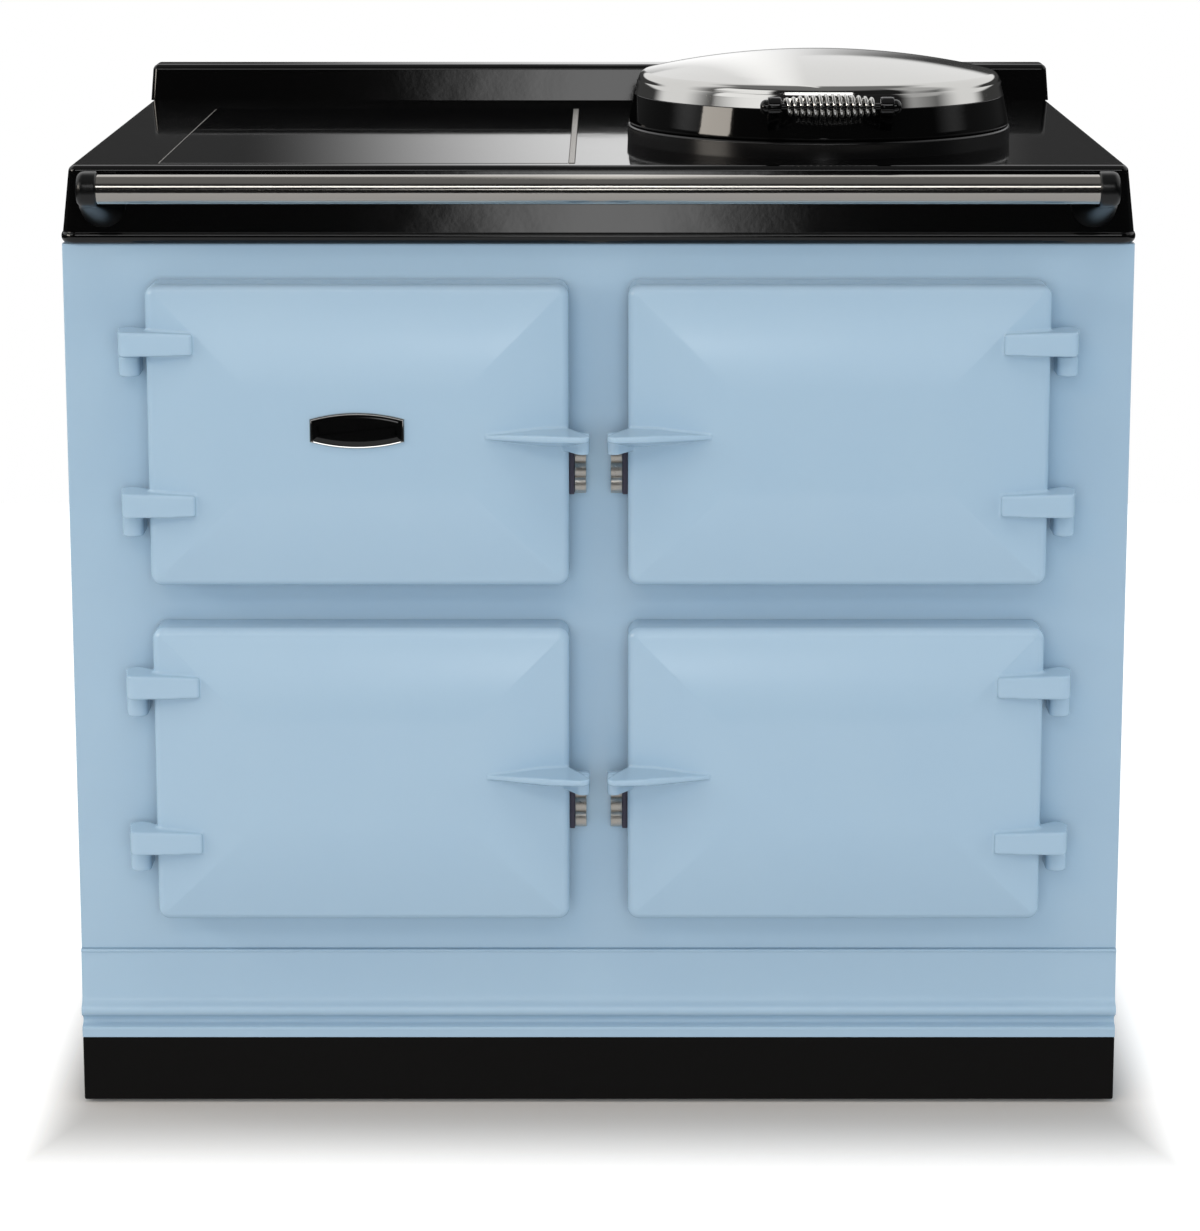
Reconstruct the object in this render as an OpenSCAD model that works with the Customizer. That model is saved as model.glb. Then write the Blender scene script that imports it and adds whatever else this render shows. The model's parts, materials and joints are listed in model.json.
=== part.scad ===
// Cast iron range cooker: four cast doors, an induction panel and one lidded hotplate.
// Lengths in millimetres, +Z up, front towards -Y.
// The origin is on the floor, under the middle of the whole cooker, towel rail included.
// Parts are drawn from the front plate's face, then from_front() puts them in place.

/* [Overall] */
// Width over the side panels
body_w = 1000; // [940:5:1200]
// Hob plate from its front foot to the back of the upstand
plate_d = 698; // [660:2:760]
// Floor to the top of the hob plate
plate_z = 913; // [900:1:940]
// Floor to the top of the plinth
plinth_h = 67; // [55:1:90]
// Height of the moulded skirting above the plinth
skirting_h = 87; // [80:1:100]

/* [Hob plate] */
// Height of the bolster under the plate's top face
bolster_h = 73; // [60:1:90]
// How far the top edge stands back from the foot
bolster_lean = 8; // [4:0.5:12]
// Radius of the foot bead
foot_r = 7; // [5:0.5:9]
// Radius of the top edge
edge_r = 6; // [3:0.5:8]
// Thickness of the plate's web
plate_t = 14; // [10:1:18]
// Thickness of the bolster's wall at its foot
bolster_t = 19; // [16:1:26]
// Plan radius of the plate's corners
plate_corner_r = 9; // [4:1:14]
// Height of the upstand above the plate
upstand_h = 39; // [30:1:60]
// Thickness of the upstand
upstand_t = 43; // [34:1:60]

/* [Induction panel] */
// Width of the glass
glass_w = 382; // [340:2:400]
// Depth of the glass
glass_d = 525; // [480:5:540]
// Glass thickness
glass_t = 5; // [4:0.5:6]
// Cooker's centre line to the glass's inner edge
glass_x = 28; // [24:1:40]
// Front plate to the glass's front edge
glass_y = 18; // [14:1:30]
// Width of the steel strip beside the glass
strip_w = 6; // [4:1:10]

/* [Hotplate and lid] */
// Centre line to the hotplate's centre
lid_x = 217; // [212:1:230]
// Front plate to the hotplate's centre
lid_y = 240; // [225:1:280]
// Radius of the lid at its foot
lid_r = 187.5; // [175:0.5:192]
// Lid's edge in to the hotplate's
hotplate_in = 27.5; // [22:0.5:38]
// Height of the hotplate's surround above the plate
surround_h = 16; // [12:1:20]
// Height of the lid's black ring
ring_h = 30; // [24:1:36]
// How far the ring tapers in
ring_taper = 5.5; // [3:0.5:8]
// Height of the polished side band
band_h = 21; // [16:1:26]
// How far the band tapers in
band_taper = 7; // [4:0.5:10]
// Rise of the lid's dome
dome_rise = 20; // [12:1:28]
// Wall of the polished shell
shell_t = 2.5; // [1.5:0.5:4]

/* [Lid handle] */
// Length of the coil
coil_len = 92; // [80:1:110]
// Number of curls
coil_turns = 14; // [10:1:16]
// Mean radius at the middle
coil_r = 10.5; // [9:0.5:12]
// Mean radius at the ends
coil_end_r = 6.5; // [6:0.5:8]
// Wire diameter
coil_wire = 3.5; // [2:0.5:3.5]
// Rod radius inside the coil
handle_rod_r = 3.5; // [3:0.5:4.5]
// Front of the lid's ring to the coil's axis
handle_reach = 21; // [20:1:30]

/* [Doors] */
// Door width
door_w = 392; // [380:1:396]
// Door height
door_h = 285; // [270:1:290]
// Gap between the left and right doors
door_gap_x = 55; // [52:1:70]
// Gap between the upper and lower doors
door_gap_z = 41; // [36:1:50]
// Floor to the lower doors' lower edge
door_z = 196; // [190:1:205]
// Depth of the door's rim
door_rim_d = 47; // [40:1:52]
// How far the panel's middle stands out past the rim
door_crown = 7; // [3:0.5:10]
// Corner radius
door_corner_r = 11; // [8:1:16]
// Wall of the door casting
door_wall = 8; // [6:1:10]

/* [Hinges and catches] */
// Hinge axis beyond the door's edge
hinge_out = 17; // [15:0.5:20]
// Hinge axis in front of the front plate
hinge_off = 25; // [22:1:30]
// Hinge boss radius
hinge_r = 10.5; // [9:0.5:12]
// Height of a hinge arm
hinge_h = 23; // [18:1:28]
// Height of the lug under it
lug_h = 19; // [15:1:22]
// Pin radius
pin_r = 4.5; // [3.5:0.5:5.5]
// Door's foot to the lower arm's middle
hinge_low = 79; // [70:1:90]
// Door's foot to the upper arm's middle
hinge_high = 231; // [200:1:235]
// Catch width
catch_w = 11; // [8:1:12]
// Catch height
catch_h = 47; // [38:1:54]

/* [Handles] */
// Length of the fin along the door
fin_len = 95; // [80:1:110]
// How far the fin stands out from the door's panel
fin_reach = 34; // [25:1:40]
// How far the handle's boss overhangs the door
boss_over = 19; // [17:1:20]
// Handle's height above the door's foot
fin_z = 129.5; // [120:0.5:140]
// Boss height
boss_h = 23.5; // [20:0.5:28]

/* [Towel rail] */
// Rail radius
rail_r = 13.5; // [11:0.5:15]
// Front plate to the rail's axis
rail_y = 70; // [60:1:85]
// Plate top down to the rail's axis
rail_drop = 14; // [10:1:20]
// Rail length between the bracket heads
rail_len = 912; // [820:2:916]

/* [Ovens] */
// Door's side edge to the side of the oven's mouth
oven_in_x = 26; // [24:1:36]
// Door's upper or lower edge to the oven's mouth
oven_in_z = 22.5; // [20:0.5:32]
// Oven depth
oven_d = 480; // [440:5:500]
// Oven wall
oven_t = 3; // [2:0.5:4]
// Shelf height above the oven's floor
shelf_z = 45; // [40:1:120]
// Shelf depth
shelf_d = 390; // [350:5:400]
// How far a shelf slides
shelf_travel = 55; // [20:5:60]

/* [Sheet metal and castings] */
// Front plate thickness
front_t = 10; // [8:1:14]
// Side panel thickness
side_t = 3; // [2:0.5:4]
// Back panel thickness
back_t = 2; // [1.5:0.5:3]
// Base pan thickness
base_t = 4; // [3:1:6]
// Floor to the base pan
base_z = 40; // [35:1:50]
// Radius of the hole in the cable grommet
grommet_r = 11; // [8:0.5:14]

/* [Clearances] */
// Between parts that move past each other
gap = 0.3; // [0.2:0.05:0.5]
// Radial, of a pin in its bore
pin_fit = 0.05; // [0.02:0.01:0.1]
// Around a panel let into another
inlay = 0.5; // [0.3:0.1:1]
// Under the plinth
plinth_gap = 3; // [2:0.5:6]

/* [Hidden] */

$fn = 48;
few = 24;                                   // segments on small round parts
fine = 96;                                  // segments on the large round parts
coarse = 3;                                 // steps of a small corner's arc
thin = 0.5;                                 // thickness of a slice that a hull joins
over = 1;                                   // how far a cut runs past its face

half_w = body_w / 2;
foot_out = 1;                               // the foot bead stands this far past the body
foot_y = -9;                                // the foot bead's front
foot_x = half_w + foot_out;
foot_z = plate_z - bolster_h;               // top of the front plate and side panels
plate_back = foot_y + plate_d;
rail_z = plate_z - rail_drop;
head_wall = 3;                              // wall of a rail bracket's head
head_r = rail_r + head_wall;
panel_y = door_rim_d + door_crown;          // front plate to the door panel's flat middle
front_reach = max(rail_y + head_r, panel_y + fin_reach);
front_y = (front_reach - plate_back) / 2;   // puts the whole depth's middle at the origin
skirting_z = plinth_h + skirting_h;
back_set = 39;                              // plate's back to the back panel's inner face
case_back = plate_back - back_set;
side_x = half_w - side_t;
plinth_t = 15;                              // wall of the plinth
frame_x = half_w - plinth_t - inlay;        // the base and frame stand inside the plinth

upper_z = door_z + door_h + door_gap_z;
door_x = (door_gap_x + door_w) / 2;         // centre line to a door's middle
axis_x = door_gap_x / 2 + door_w + hinge_out;
door_back = 2;                              // front plate to the back of a door's rim
oven_w = door_w - 2 * oven_in_x;
oven_h = door_h - 2 * oven_in_z;
lid_z = plate_z + surround_h + gap;         // the lid's foot
hotplate_r = lid_r - hotplate_in;
ring_top = lid_z + ring_h;
band_top = ring_top + band_h;
ring_r2 = lid_r - ring_taper;               // the ring's radius at its top
dome_r0 = ring_r2 - band_taper;             // the dome's foot radius
dome_sphere = (dome_r0 * dome_r0 + dome_rise * dome_rise) / (2 * dome_rise);

blue = [0.64, 0.75, 0.84];
black = [0.06, 0.06, 0.065];
steel = [0.72, 0.72, 0.72];
dark = [0.2, 0.2, 0.21];

// Points along an arc about c, from angle a0 to a1
function arc(c, r, a0, a1, n = 6) =
    [for (i = [0:n]) c + r * [cos(a0 + (a1 - a0) * i / n), sin(a0 + (a1 - a0) * i / n)]];

// A rectangle about the origin with round corners
function round_rect(w, h, r, n = 5) = concat(
    arc([w / 2 - r, h / 2 - r], r, 0, 90, n),
    arc([r - w / 2, h / 2 - r], r, 90, 180, n),
    arc([r - w / 2, r - h / 2], r, 180, 270, n),
    arc([w / 2 - r, r - h / 2], r, 270, 360, n));

module from_front() {
    translate([0, front_y, 0])
        children();
}

// Stretches an outline drawn in Y and Z along X, about x = 0
module along_x(len) {
    rotate([90, 0, 90])
        linear_extrude(len, center = true)
            children();
}

// Stretches an outline drawn in X and Z back from y = y0 to y1
module along_y(y0, y1) {
    translate([0, y1, 0])
        rotate([90, 0, 0])
            linear_extrude(y1 - y0)
                children();
}

// A cuboid from its lowest and highest corners
module block(a, b) {
    translate(a)
        cube(b - a);
}

// Draws its children and their mirror image on the other side
module both_sides() {
    children();
    mirror([1, 0, 0])
        children();
}

// ---------------------------------------------------------------- base and body

foot_in_x = 70;
foot_in_y = 60;
foot_x_pos = half_w - foot_in_x;
foot_y_pos = [foot_in_y, case_back - foot_in_y];
foot_pad_r = 25;
foot_pad_h = 10;
foot_stem_r = 6;
foot_edge = 2;                              // chamfer of a foot's pad

module levelling_feet() {
    color(dark) from_front()
        for (y = foot_y_pos)
            both_sides()
                translate([foot_x_pos, y, 0]) {
                    cylinder(r = foot_pad_r, h = foot_pad_h - foot_edge);
                    translate([0, 0, foot_pad_h - foot_edge])
                        cylinder(r1 = foot_pad_r, r2 = foot_pad_r - foot_edge, h = foot_edge);
                    cylinder(r = foot_stem_r, h = base_z);
                }
}

base_flange = 22;

module base_pan() {
    color(steel) from_front()
        difference() {
            block([-frame_x, front_t, base_z], [frame_x, case_back, base_z + base_flange]);
            block([-frame_x + base_t, front_t + base_t, base_z + base_t],
                [frame_x - base_t, case_back - base_t, base_z + base_flange + over]);
        }
}

plinth_y = -8;                              // the plinth's front
plinth_edge = 2;

module plinth() {
    color(black) from_front()
        difference() {
            translate([0, 0, plinth_gap])
                linear_extrude(plinth_h - plinth_gap)
                    translate([0, (plinth_y + case_back) / 2])
                        polygon(round_rect(body_w, case_back - plinth_y, plinth_edge));
            block([-half_w + plinth_t, plinth_y + plinth_t, 0],
                [half_w - plinth_t, case_back + over, plinth_h + over]);
        }
}

// The skirting's face: lip, flat, cove, bead, groove and a convex foot
skirt_back = front_t;
skirt_flat_y = -2;
bead_r = 6;
bead_y = -6;
bead_rise = 24;                             // plinth to the bead's middle
bead_z = plinth_h + bead_rise;
groove_r = 3;
groove_y = -5;
toe_r = 8;
toe_y = -1;                                 // centre of the convex foot's arc
cove_r = 11;
cove_z = bead_z + bead_r + cove_r;
lip = 1.5;

function skirting_face() = concat(
    [[skirt_back, plinth_h], [toe_y - toe_r / 2, plinth_h]],
    arc([toe_y, plinth_h + toe_r], toe_r, 240, 170),
    arc([groove_y, bead_z - bead_r - groove_r], groove_r, -60, 60),
    arc([bead_y, bead_z], bead_r, -110, -270, 8),
    arc([skirt_flat_y - cove_r, cove_z], cove_r, -60, 0),
    [[skirt_flat_y, skirting_z - 2 * lip], [skirt_flat_y - lip, skirting_z - lip],
        [skirt_flat_y - lip / 2, skirting_z], [skirt_back, skirting_z]]);

module skirting() {
    color(blue) from_front()
        along_x(body_w)
            polygon(skirting_face());
}

upright_w = 28;
upright_t = 4;

module upright(y, turn) {
    translate([frame_x - base_t, y, base_z + base_t])
        mirror([1, 0, 0])
            mirror([0, turn, 0]) {
                cube([upright_w, upright_t, foot_z - base_z - base_t]);
                cube([upright_t, upright_w, foot_z - base_z - base_t]);
            }
}

module chassis_frame() {
    color(steel) from_front()
        both_sides() {
            upright(front_t + base_t, 0);
            upright(case_back - base_t, 1);
        }
}

// Places its children at the middle foot of each of the four doorways
module at_doorways() {
    for (z = [door_z, upper_z])
        for (x = [-door_x, door_x])
            translate([x, 0, z])
                children();
}

mouth_r = 6;

module front_plate() {
    color(blue) from_front()
        difference() {
            block([-half_w, 0, skirting_z], [half_w, front_t, foot_z]);
            at_doorways()
                translate([0, 0, oven_in_z + oven_h / 2])
                    along_y(-over, front_t + over)
                        polygon(round_rect(oven_w, oven_h, mouth_r, coarse));
        }
}

module side_panels() {
    color(blue) from_front()
        both_sides()
            block([side_x, front_t, plinth_h], [half_w, case_back, foot_z]);
}

inlet_in = 150;                             // side panel to the cable inlet
inlet_x = half_w - inlet_in;
inlet_z = 140;
grommet_wall = 5;
grommet_len = 14;
vent_w = 60;
vent_h = 6;
vent_rows = 4;
vent_cols = 4;
vent_pitch = 18;
vent_drop = 110;
vent_z = foot_z - vent_drop;

module back_panel() {
    color(steel) from_front()
        difference() {
            block([-half_w, case_back, plinth_h], [half_w, case_back + back_t, foot_z]);
            translate([inlet_x, case_back - over, inlet_z])
                rotate([-90, 0, 0])
                    cylinder(r = grommet_r + grommet_wall, h = back_t + 2 * over);
            for (row = [0:vent_rows - 1])
                for (col = [0:vent_cols - 1])
                    translate([(2 * col - vent_cols + 0.5) * vent_w, case_back - over,
                        vent_z + row * vent_pitch])
                        cube([vent_w, back_t + 2 * over, vent_h]);
        }
}

grommet_flange = 5;

module cable_grommet() {
    color(dark) from_front()
        translate([inlet_x, case_back + back_t, inlet_z])
            rotate([-90, 0, 0])
                difference() {
                    union() {
                        cylinder(r = grommet_r + grommet_wall + grommet_flange, h = grommet_flange);
                        translate([0, 0, -grommet_len + grommet_flange])
                            cylinder(r = grommet_r + grommet_wall, h = grommet_len);
                    }
                    translate([0, 0, -grommet_len])
                        cylinder(r = grommet_r, h = 2 * grommet_len);
                }
}

wool_x = frame_x - base_t - upright_w - base_t;
wool_drop = 24;                             // the induction tray reaches down into this space
wool_top = foot_z - wool_drop;
wiring_d = 70;                              // clear space behind the insulation
wool_front = front_t + inlay;

module insulation() {
    color([0.85, 0.8, 0.6]) from_front()
        difference() {
            block([-wool_x, wool_front, base_z + base_flange + base_t],
                [wool_x, case_back - wiring_d, wool_top]);
            at_doorways()
                block([-oven_w / 2 - oven_t - inlay, 0, oven_in_z - oven_t - inlay],
                    [oven_w / 2 + oven_t + inlay, front_t + oven_d + oven_t + inlay,
                        oven_in_z + oven_h + oven_t + inlay]);
        }
}

// ---------------------------------------------------------------- hob plate

// The bolster's outline from its foot up: each point is [inward, up]
face_foot = 4.5;                            // the face's step back above the foot bead
bead_groove = 2;                            // the groove between the bead and the face
face_z0 = foot_z + 2 * foot_r + bead_groove;
face_z1 = plate_z - edge_r;

function bolster_edge() = concat(
    [[bolster_t, foot_z]],
    arc([foot_r, foot_z + foot_r], foot_r, -90, -240, 9),
    [for (t = [0:0.2:1])
        [face_foot + (bolster_lean - face_foot) * sin(90 * t), face_z0 + (face_z1 - face_z0) * t]],
    arc([bolster_lean + edge_r, face_z1], edge_r, 165, 90, 5));

// The plate's outline from front to back
function plate_section() = concat(
    [for (p = bolster_edge()) [foot_y + p[0], p[1]]],
    [[plate_back, plate_z], [plate_back, foot_z]]);

hole_clear = 4;                             // round the hotplate
hole_r = hotplate_r + hole_clear;
glass_ledge = 12;
glass_hole_x0 = -glass_x - glass_w - inlay;
glass_hole_x1 = -glass_x + strip_w + inlay;
glass_y1 = glass_y + glass_d;

module top_plate() {
    color(black) from_front()
        difference() {
            intersection() {
                along_x(2 * foot_x)
                    polygon(plate_section());
                along_y(foot_y, plate_back)
                    polygon(concat([for (p = bolster_edge()) [foot_x - p[0], p[1]]],
                        [for (i = [len(bolster_edge()) - 1:-1:0])
                            [bolster_edge()[i][0] - foot_x, bolster_edge()[i][1]]]));
                translate([0, foot_y + plate_d / 2, 0])
                    linear_extrude(plate_z + over)
                        polygon(round_rect(2 * foot_x, plate_d, plate_corner_r));
            }
            block([bolster_t - foot_x, foot_y + bolster_t, foot_z - over],
                [foot_x - bolster_t, plate_back - bolster_t, plate_z - plate_t]);
            translate([lid_x, lid_y, foot_z])
                cylinder(r = hole_r, h = bolster_h + over, $fn = fine);
            block([glass_hole_x0, glass_y - inlay, plate_z - glass_t],
                [glass_hole_x1, glass_y1 + inlay, plate_z + over]);
            block([glass_hole_x0 + glass_ledge, glass_y + glass_ledge, foot_z],
                [-glass_x - glass_ledge, glass_y1 - glass_ledge, plate_z]);
        }
}

upstand_lean = 4;
upstand_r = 6;
upstand_draft = 3;
upstand_x = foot_x - bolster_lean;

module upstand() {
    color(black) from_front()
        intersection() {
            along_x(2 * upstand_x)
                polygon(concat(
                    [[plate_back, plate_z], [plate_back - upstand_t, plate_z]],
                    arc([plate_back - upstand_t + upstand_lean + upstand_r,
                        plate_z + upstand_h - upstand_r], upstand_r, 175, 90),
                    arc([plate_back - upstand_r, plate_z + upstand_h - upstand_r], upstand_r, 90, 0)));
            along_y(plate_back - upstand_t - over, plate_back + over)
                polygon(concat(
                    [[-upstand_x, plate_z], [upstand_x, plate_z]],
                    arc([upstand_x - upstand_draft - upstand_r, plate_z + upstand_h - upstand_r],
                        upstand_r, 5, 90),
                    arc([upstand_r + upstand_draft - upstand_x, plate_z + upstand_h - upstand_r],
                        upstand_r, 90, 175)));
        }
}

rail_wall = 1.5;
rail_socket = 7;                            // how far the rail enters a bracket's head
head_x = rail_len / 2;
head_w = 19;
head_round = 7;                             // rounding of the head's outer end
foot_pad_w = 44;                            // the bracket's foot on the bolster
foot_pad_rise = 42;
foot_pad_t = 5;
foot_pad_out = 4;                           // rail's end out to the foot's middle
foot_pad_drop = 22;                         // rail's axis down to the foot's middle
neck_r = 9;
neck_back = 9;                              // rail's axis back to the neck's middle

module towel_rail() {
    color(steel) from_front()
        translate([0, -rail_y, rail_z])
            rotate([0, 90, 0])
                difference() {
                    cylinder(r = rail_r, h = rail_len + 2 * rail_socket, center = true);
                    cylinder(r = rail_r - rail_wall, h = rail_len + 4 * rail_socket, center = true);
                }
}

// The cup over the rail's end, turned about the rail's axis
module rail_head() {
    translate([head_x, -rail_y, rail_z])
        rotate([0, 90, 0])
            difference() {
                rotate_extrude()
                    polygon(concat([[0, 0], [head_r - head_wall / 2, 0], [head_r, head_wall / 2]],
                        arc([head_r - head_round, head_w - head_round], head_round, 0, 90),
                        [[0, head_w]]));
                translate([0, 0, -over])
                    cylinder(r = rail_r, h = rail_socket + over);
            }
}

// The arm: from the bolster's face it narrows to a neck under the head
module rail_arm() {
    hull() {
        translate([head_x + head_w / 2, neck_back - rail_y, rail_z - head_r])
            cylinder(r = neck_r, h = head_r, $fn = few);
        translate([head_x + foot_pad_out, foot_y, rail_z - foot_pad_drop])
            scale([1, 1, foot_pad_rise / foot_pad_w])
                rotate([-90, 0, 0])
                    cylinder(r = foot_pad_w / 2, h = foot_pad_t + bolster_lean, $fn = few);
    }
}

module rail_brackets() {
    color(black) from_front()
        both_sides() {
            rail_head();
            difference() {
                rail_arm();
                translate([0, -rail_y, rail_z])
                    rotate([0, 90, 0])
                        cylinder(r = head_r, h = head_x);
                translate([0, -rail_y, rail_z])
                    rotate([0, 90, 0])
                        cylinder(r = rail_r + gap, h = head_x + rail_socket + gap);
                along_x(body_w)
                    polygon(plate_section());
            }
        }
}

glass_corner = 2;

module hob_glass() {
    color([0.08, 0.08, 0.09]) from_front()
        translate([-glass_x - glass_w / 2, glass_y + glass_d / 2, plate_z - glass_t])
            linear_extrude(glass_t + gap)
                polygon(round_rect(glass_w, glass_d, glass_corner, coarse));
}

module hob_strip() {
    color(steel) from_front()
        block([-glass_x, glass_y, plate_z - glass_t],
            [-glass_x + strip_w, glass_y1, plate_z + 2 * gap]);
}

tray_h = 46;
tray_t = 1.5;
tray_in = glass_ledge + inlay;

module induction_tray() {
    color([0.75, 0.76, 0.78]) from_front()
        difference() {
            block([-glass_x - glass_w + tray_in, glass_y + tray_in, plate_z - glass_t - tray_h],
                [-glass_x - tray_in, glass_y1 - tray_in, plate_z - glass_t]);
            block([-glass_x - glass_w + tray_in + tray_t, glass_y + tray_in + tray_t,
                plate_z - glass_t - tray_h + tray_t],
                [-glass_x - tray_in - tray_t, glass_y1 - tray_in - tray_t, plate_z]);
        }
}

zone_r = [84, 84, 84, 60];                  // front left, front right, back left, back right
zone_hole_r = 12;
zone_under = 2;                             // glass to a winding's top
zone_dx = 88;
zone_dy = 122;

module induction_coils() {
    color([0.72, 0.45, 0.3]) from_front()
        for (i = [0:3])
            translate([-glass_x - glass_w / 2 + (i % 2 == 0 ? -zone_dx : zone_dx),
                glass_y + glass_d / 2 + (i < 2 ? -zone_dy : zone_dy),
                plate_z - glass_t - tray_h + tray_t])
                difference() {
                    cylinder(r = zone_r[i], h = tray_h - tray_t - zone_under);
                    translate([0, 0, -over])
                        cylinder(r = zone_hole_r, h = tray_h + over);
                }
}

// ---------------------------------------------------------------- hotplate and lid

module at_lid() {
    from_front()
        translate([lid_x, lid_y, 0])
            children();
}

hotplate_drop = 1.5;                        // hotplate's face below the surround's top
hotplate_t = 38;

module hotplate() {
    color([0.3, 0.3, 0.31]) at_lid()
        translate([0, 0, plate_z + surround_h - hotplate_drop - hotplate_t])
            cylinder(r = hotplate_r, h = hotplate_t, $fn = fine);
}

surround_foot = 1;                          // the surround's foot stands this far past the lid
surround_r = 2;                             // rounding of its top edge

module hotplate_surround() {
    color(dark) at_lid()
        rotate_extrude($fn = fine)
            polygon(concat([[hotplate_r + gap, plate_z], [lid_r + surround_foot, plate_z]],
                arc([lid_r - surround_r, plate_z + surround_h - surround_r], surround_r, 0, 90),
                [[hotplate_r + gap, plate_z + surround_h]]));
}

element_w = 12;
element_h = 8;
element_in = 15;                            // hotplate's edge to the outermost ring
element_pitch = 42.5;
element_rings = [for (i = [0:2]) hotplate_r - element_in - i * element_pitch];

module hotplate_element() {
    color([0.35, 0.33, 0.3]) at_lid()
        for (r = element_rings)
            translate([0, 0, plate_z + surround_h - hotplate_drop - hotplate_t - element_h])
                rotate_extrude()
                    translate([r - element_w, 0])
                        square([element_w, element_h]);
}

ring_wall = 24;
ring_foot_r = 3;                            // rounding of the ring's foot
ring_edge = 1;                              // chamfer under the polished band

module lid_ring() {
    color(black) at_lid()
        rotate_extrude($fn = fine)
            polygon(concat([[lid_r - ring_wall, lid_z]],
                arc([lid_r - ring_foot_r, lid_z + ring_foot_r], ring_foot_r, -90, 0),
                [[ring_r2, ring_top - ring_edge], [ring_r2 - ring_edge, ring_top],
                    [ring_r2 - ring_wall, ring_top]]));
}

function dome_z(r) = band_top + dome_rise - dome_sphere + sqrt(dome_sphere * dome_sphere - r * r);

shell_r = dome_r0 - shell_t;                // inside of the shell's shoulder
shoulder = 1;                               // rounding between the band and the dome

module lid_shell() {
    color([0.85, 0.85, 0.86]) at_lid()
        rotate_extrude($fn = fine)
            polygon(concat([[ring_r2 - shell_t, ring_top], [ring_r2, ring_top],
                [dome_r0 + shoulder / 2, band_top - shoulder]],
                [for (t = [1:-0.1:0]) [dome_r0 * t, dome_z(dome_r0 * t)]],
                [for (t = [0:0.2:0.8]) [shell_r * t, dome_z(dome_r0 * t) - shell_t]],
                [[shell_r, band_top - shell_t]]));
}

liner_t = 3;
liner_gap = 1;

module lid_liner() {
    color([0.8, 0.8, 0.8]) at_lid()
        translate([0, 0, lid_z])
            cylinder(r = lid_r - ring_wall - liner_gap, h = liner_t, $fn = fine);
}

module lid_insulation() {
    color([0.85, 0.8, 0.6]) at_lid()
        translate([0, 0, lid_z + liner_t])
            cylinder(r = ring_r2 - ring_wall - over, h = ring_h + band_h - 2 * liner_t, $fn = fine);
}

// The space that the lid's ring and band take, with a hair of room, cut from what seats on them
ring_seat_gap = 0.8;

module ring_seat() {
    translate([0, 0, lid_z - over])
        cylinder(r1 = lid_r + ring_seat_gap, r2 = ring_r2 + ring_seat_gap, h = ring_h + over, $fn = fine);
    translate([0, 0, ring_top - over / 2])
        cylinder(r1 = ring_r2 + ring_seat_gap, r2 = dome_r0 + ring_seat_gap, h = band_h, $fn = fine);
}

lid_axis_out = 20;                          // lid's foot to its hinge axis
lid_axis_rise = 30;                         // plate to the hinge axis
lid_axis_y = lid_r + lid_axis_out;
lid_axis_z = plate_z + lid_axis_rise;
lid_pin_r = 5;
lid_pin_proud = 3;
lid_barrel_r = 11;
lid_barrel_w = 62;
lid_ear_w = 12;
lid_arm_t = 14;
lid_arm_in = 14;                            // how far the arm reaches in under the ring's edge
lid_base_t = 8;
lid_base_front = 16;
lid_base_back = 22;

module lid_hinge_arm() {
    color(black) at_lid()
        difference() {
            union() {
                translate([0, lid_axis_y, lid_axis_z])
                    rotate([0, 90, 0])
                        cylinder(r = lid_barrel_r, h = lid_barrel_w, center = true);
                block([-lid_barrel_w / 2, lid_r - lid_arm_in, lid_axis_z - lid_arm_t / 2],
                    [lid_barrel_w / 2, lid_axis_y, lid_axis_z + lid_arm_t / 2]);
            }
            translate([0, lid_axis_y, lid_axis_z])
                rotate([0, 90, 0])
                    cylinder(r = lid_pin_r + pin_fit, h = lid_barrel_w + over, center = true);
            ring_seat();
        }
}

module lid_hinge_bracket() {
    color(black) at_lid()
        difference() {
            union() {
                block([-lid_barrel_w / 2 - lid_ear_w - gap, lid_axis_y - lid_base_front, plate_z],
                    [lid_barrel_w / 2 + lid_ear_w + gap, lid_axis_y + lid_base_back,
                        plate_z + lid_base_t]);
                for (s = [-1, 1])
                    translate([s * (lid_barrel_w / 2 + gap + lid_ear_w / 2), lid_axis_y, 0]) {
                        translate([0, 0, lid_axis_z])
                            rotate([0, 90, 0])
                                cylinder(r = lid_barrel_r, h = lid_ear_w, center = true);
                        block([-lid_ear_w / 2, -lid_barrel_r, plate_z],
                            [lid_ear_w / 2, lid_barrel_r, lid_axis_z]);
                    }
            }
            translate([0, lid_axis_y, lid_axis_z])
                rotate([0, 90, 0])
                    cylinder(r = lid_pin_r + pin_fit, h = 2 * lid_barrel_w, center = true);
        }
}

module lid_hinge_pin() {
    color(steel) at_lid()
        translate([0, lid_axis_y, lid_axis_z])
            rotate([0, 90, 0])
                cylinder(r = lid_pin_r, h = lid_barrel_w + 2 * (lid_ear_w + lid_pin_proud), center = true);
}

// The handle lies in front of the ring, between two lugs screwed to it
handle_y = -lid_r - handle_reach;
handle_rise = 7.5;                          // ring's top to the coil's axis
handle_z = ring_top + handle_rise;
lug_w = 13;
lug_r = 9.5;
rod_cap_r = 7;                              // nuts on the rod's ends
rod_cap_nose = 4;
rod_cap_t = 7;
lug_foot_h = 16;
lug_foot_rise = 10;                         // ring's foot to the lower end of a lug's foot
lug_x = coil_len / 2 + lug_w / 2;
lug_bite = 2;                               // how far a foot is drawn past the ring before it is cut
lug_seat_y = lug_bite - sqrt(lid_r * lid_r - (lug_x + lug_w) * (lug_x + lug_w));

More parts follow.
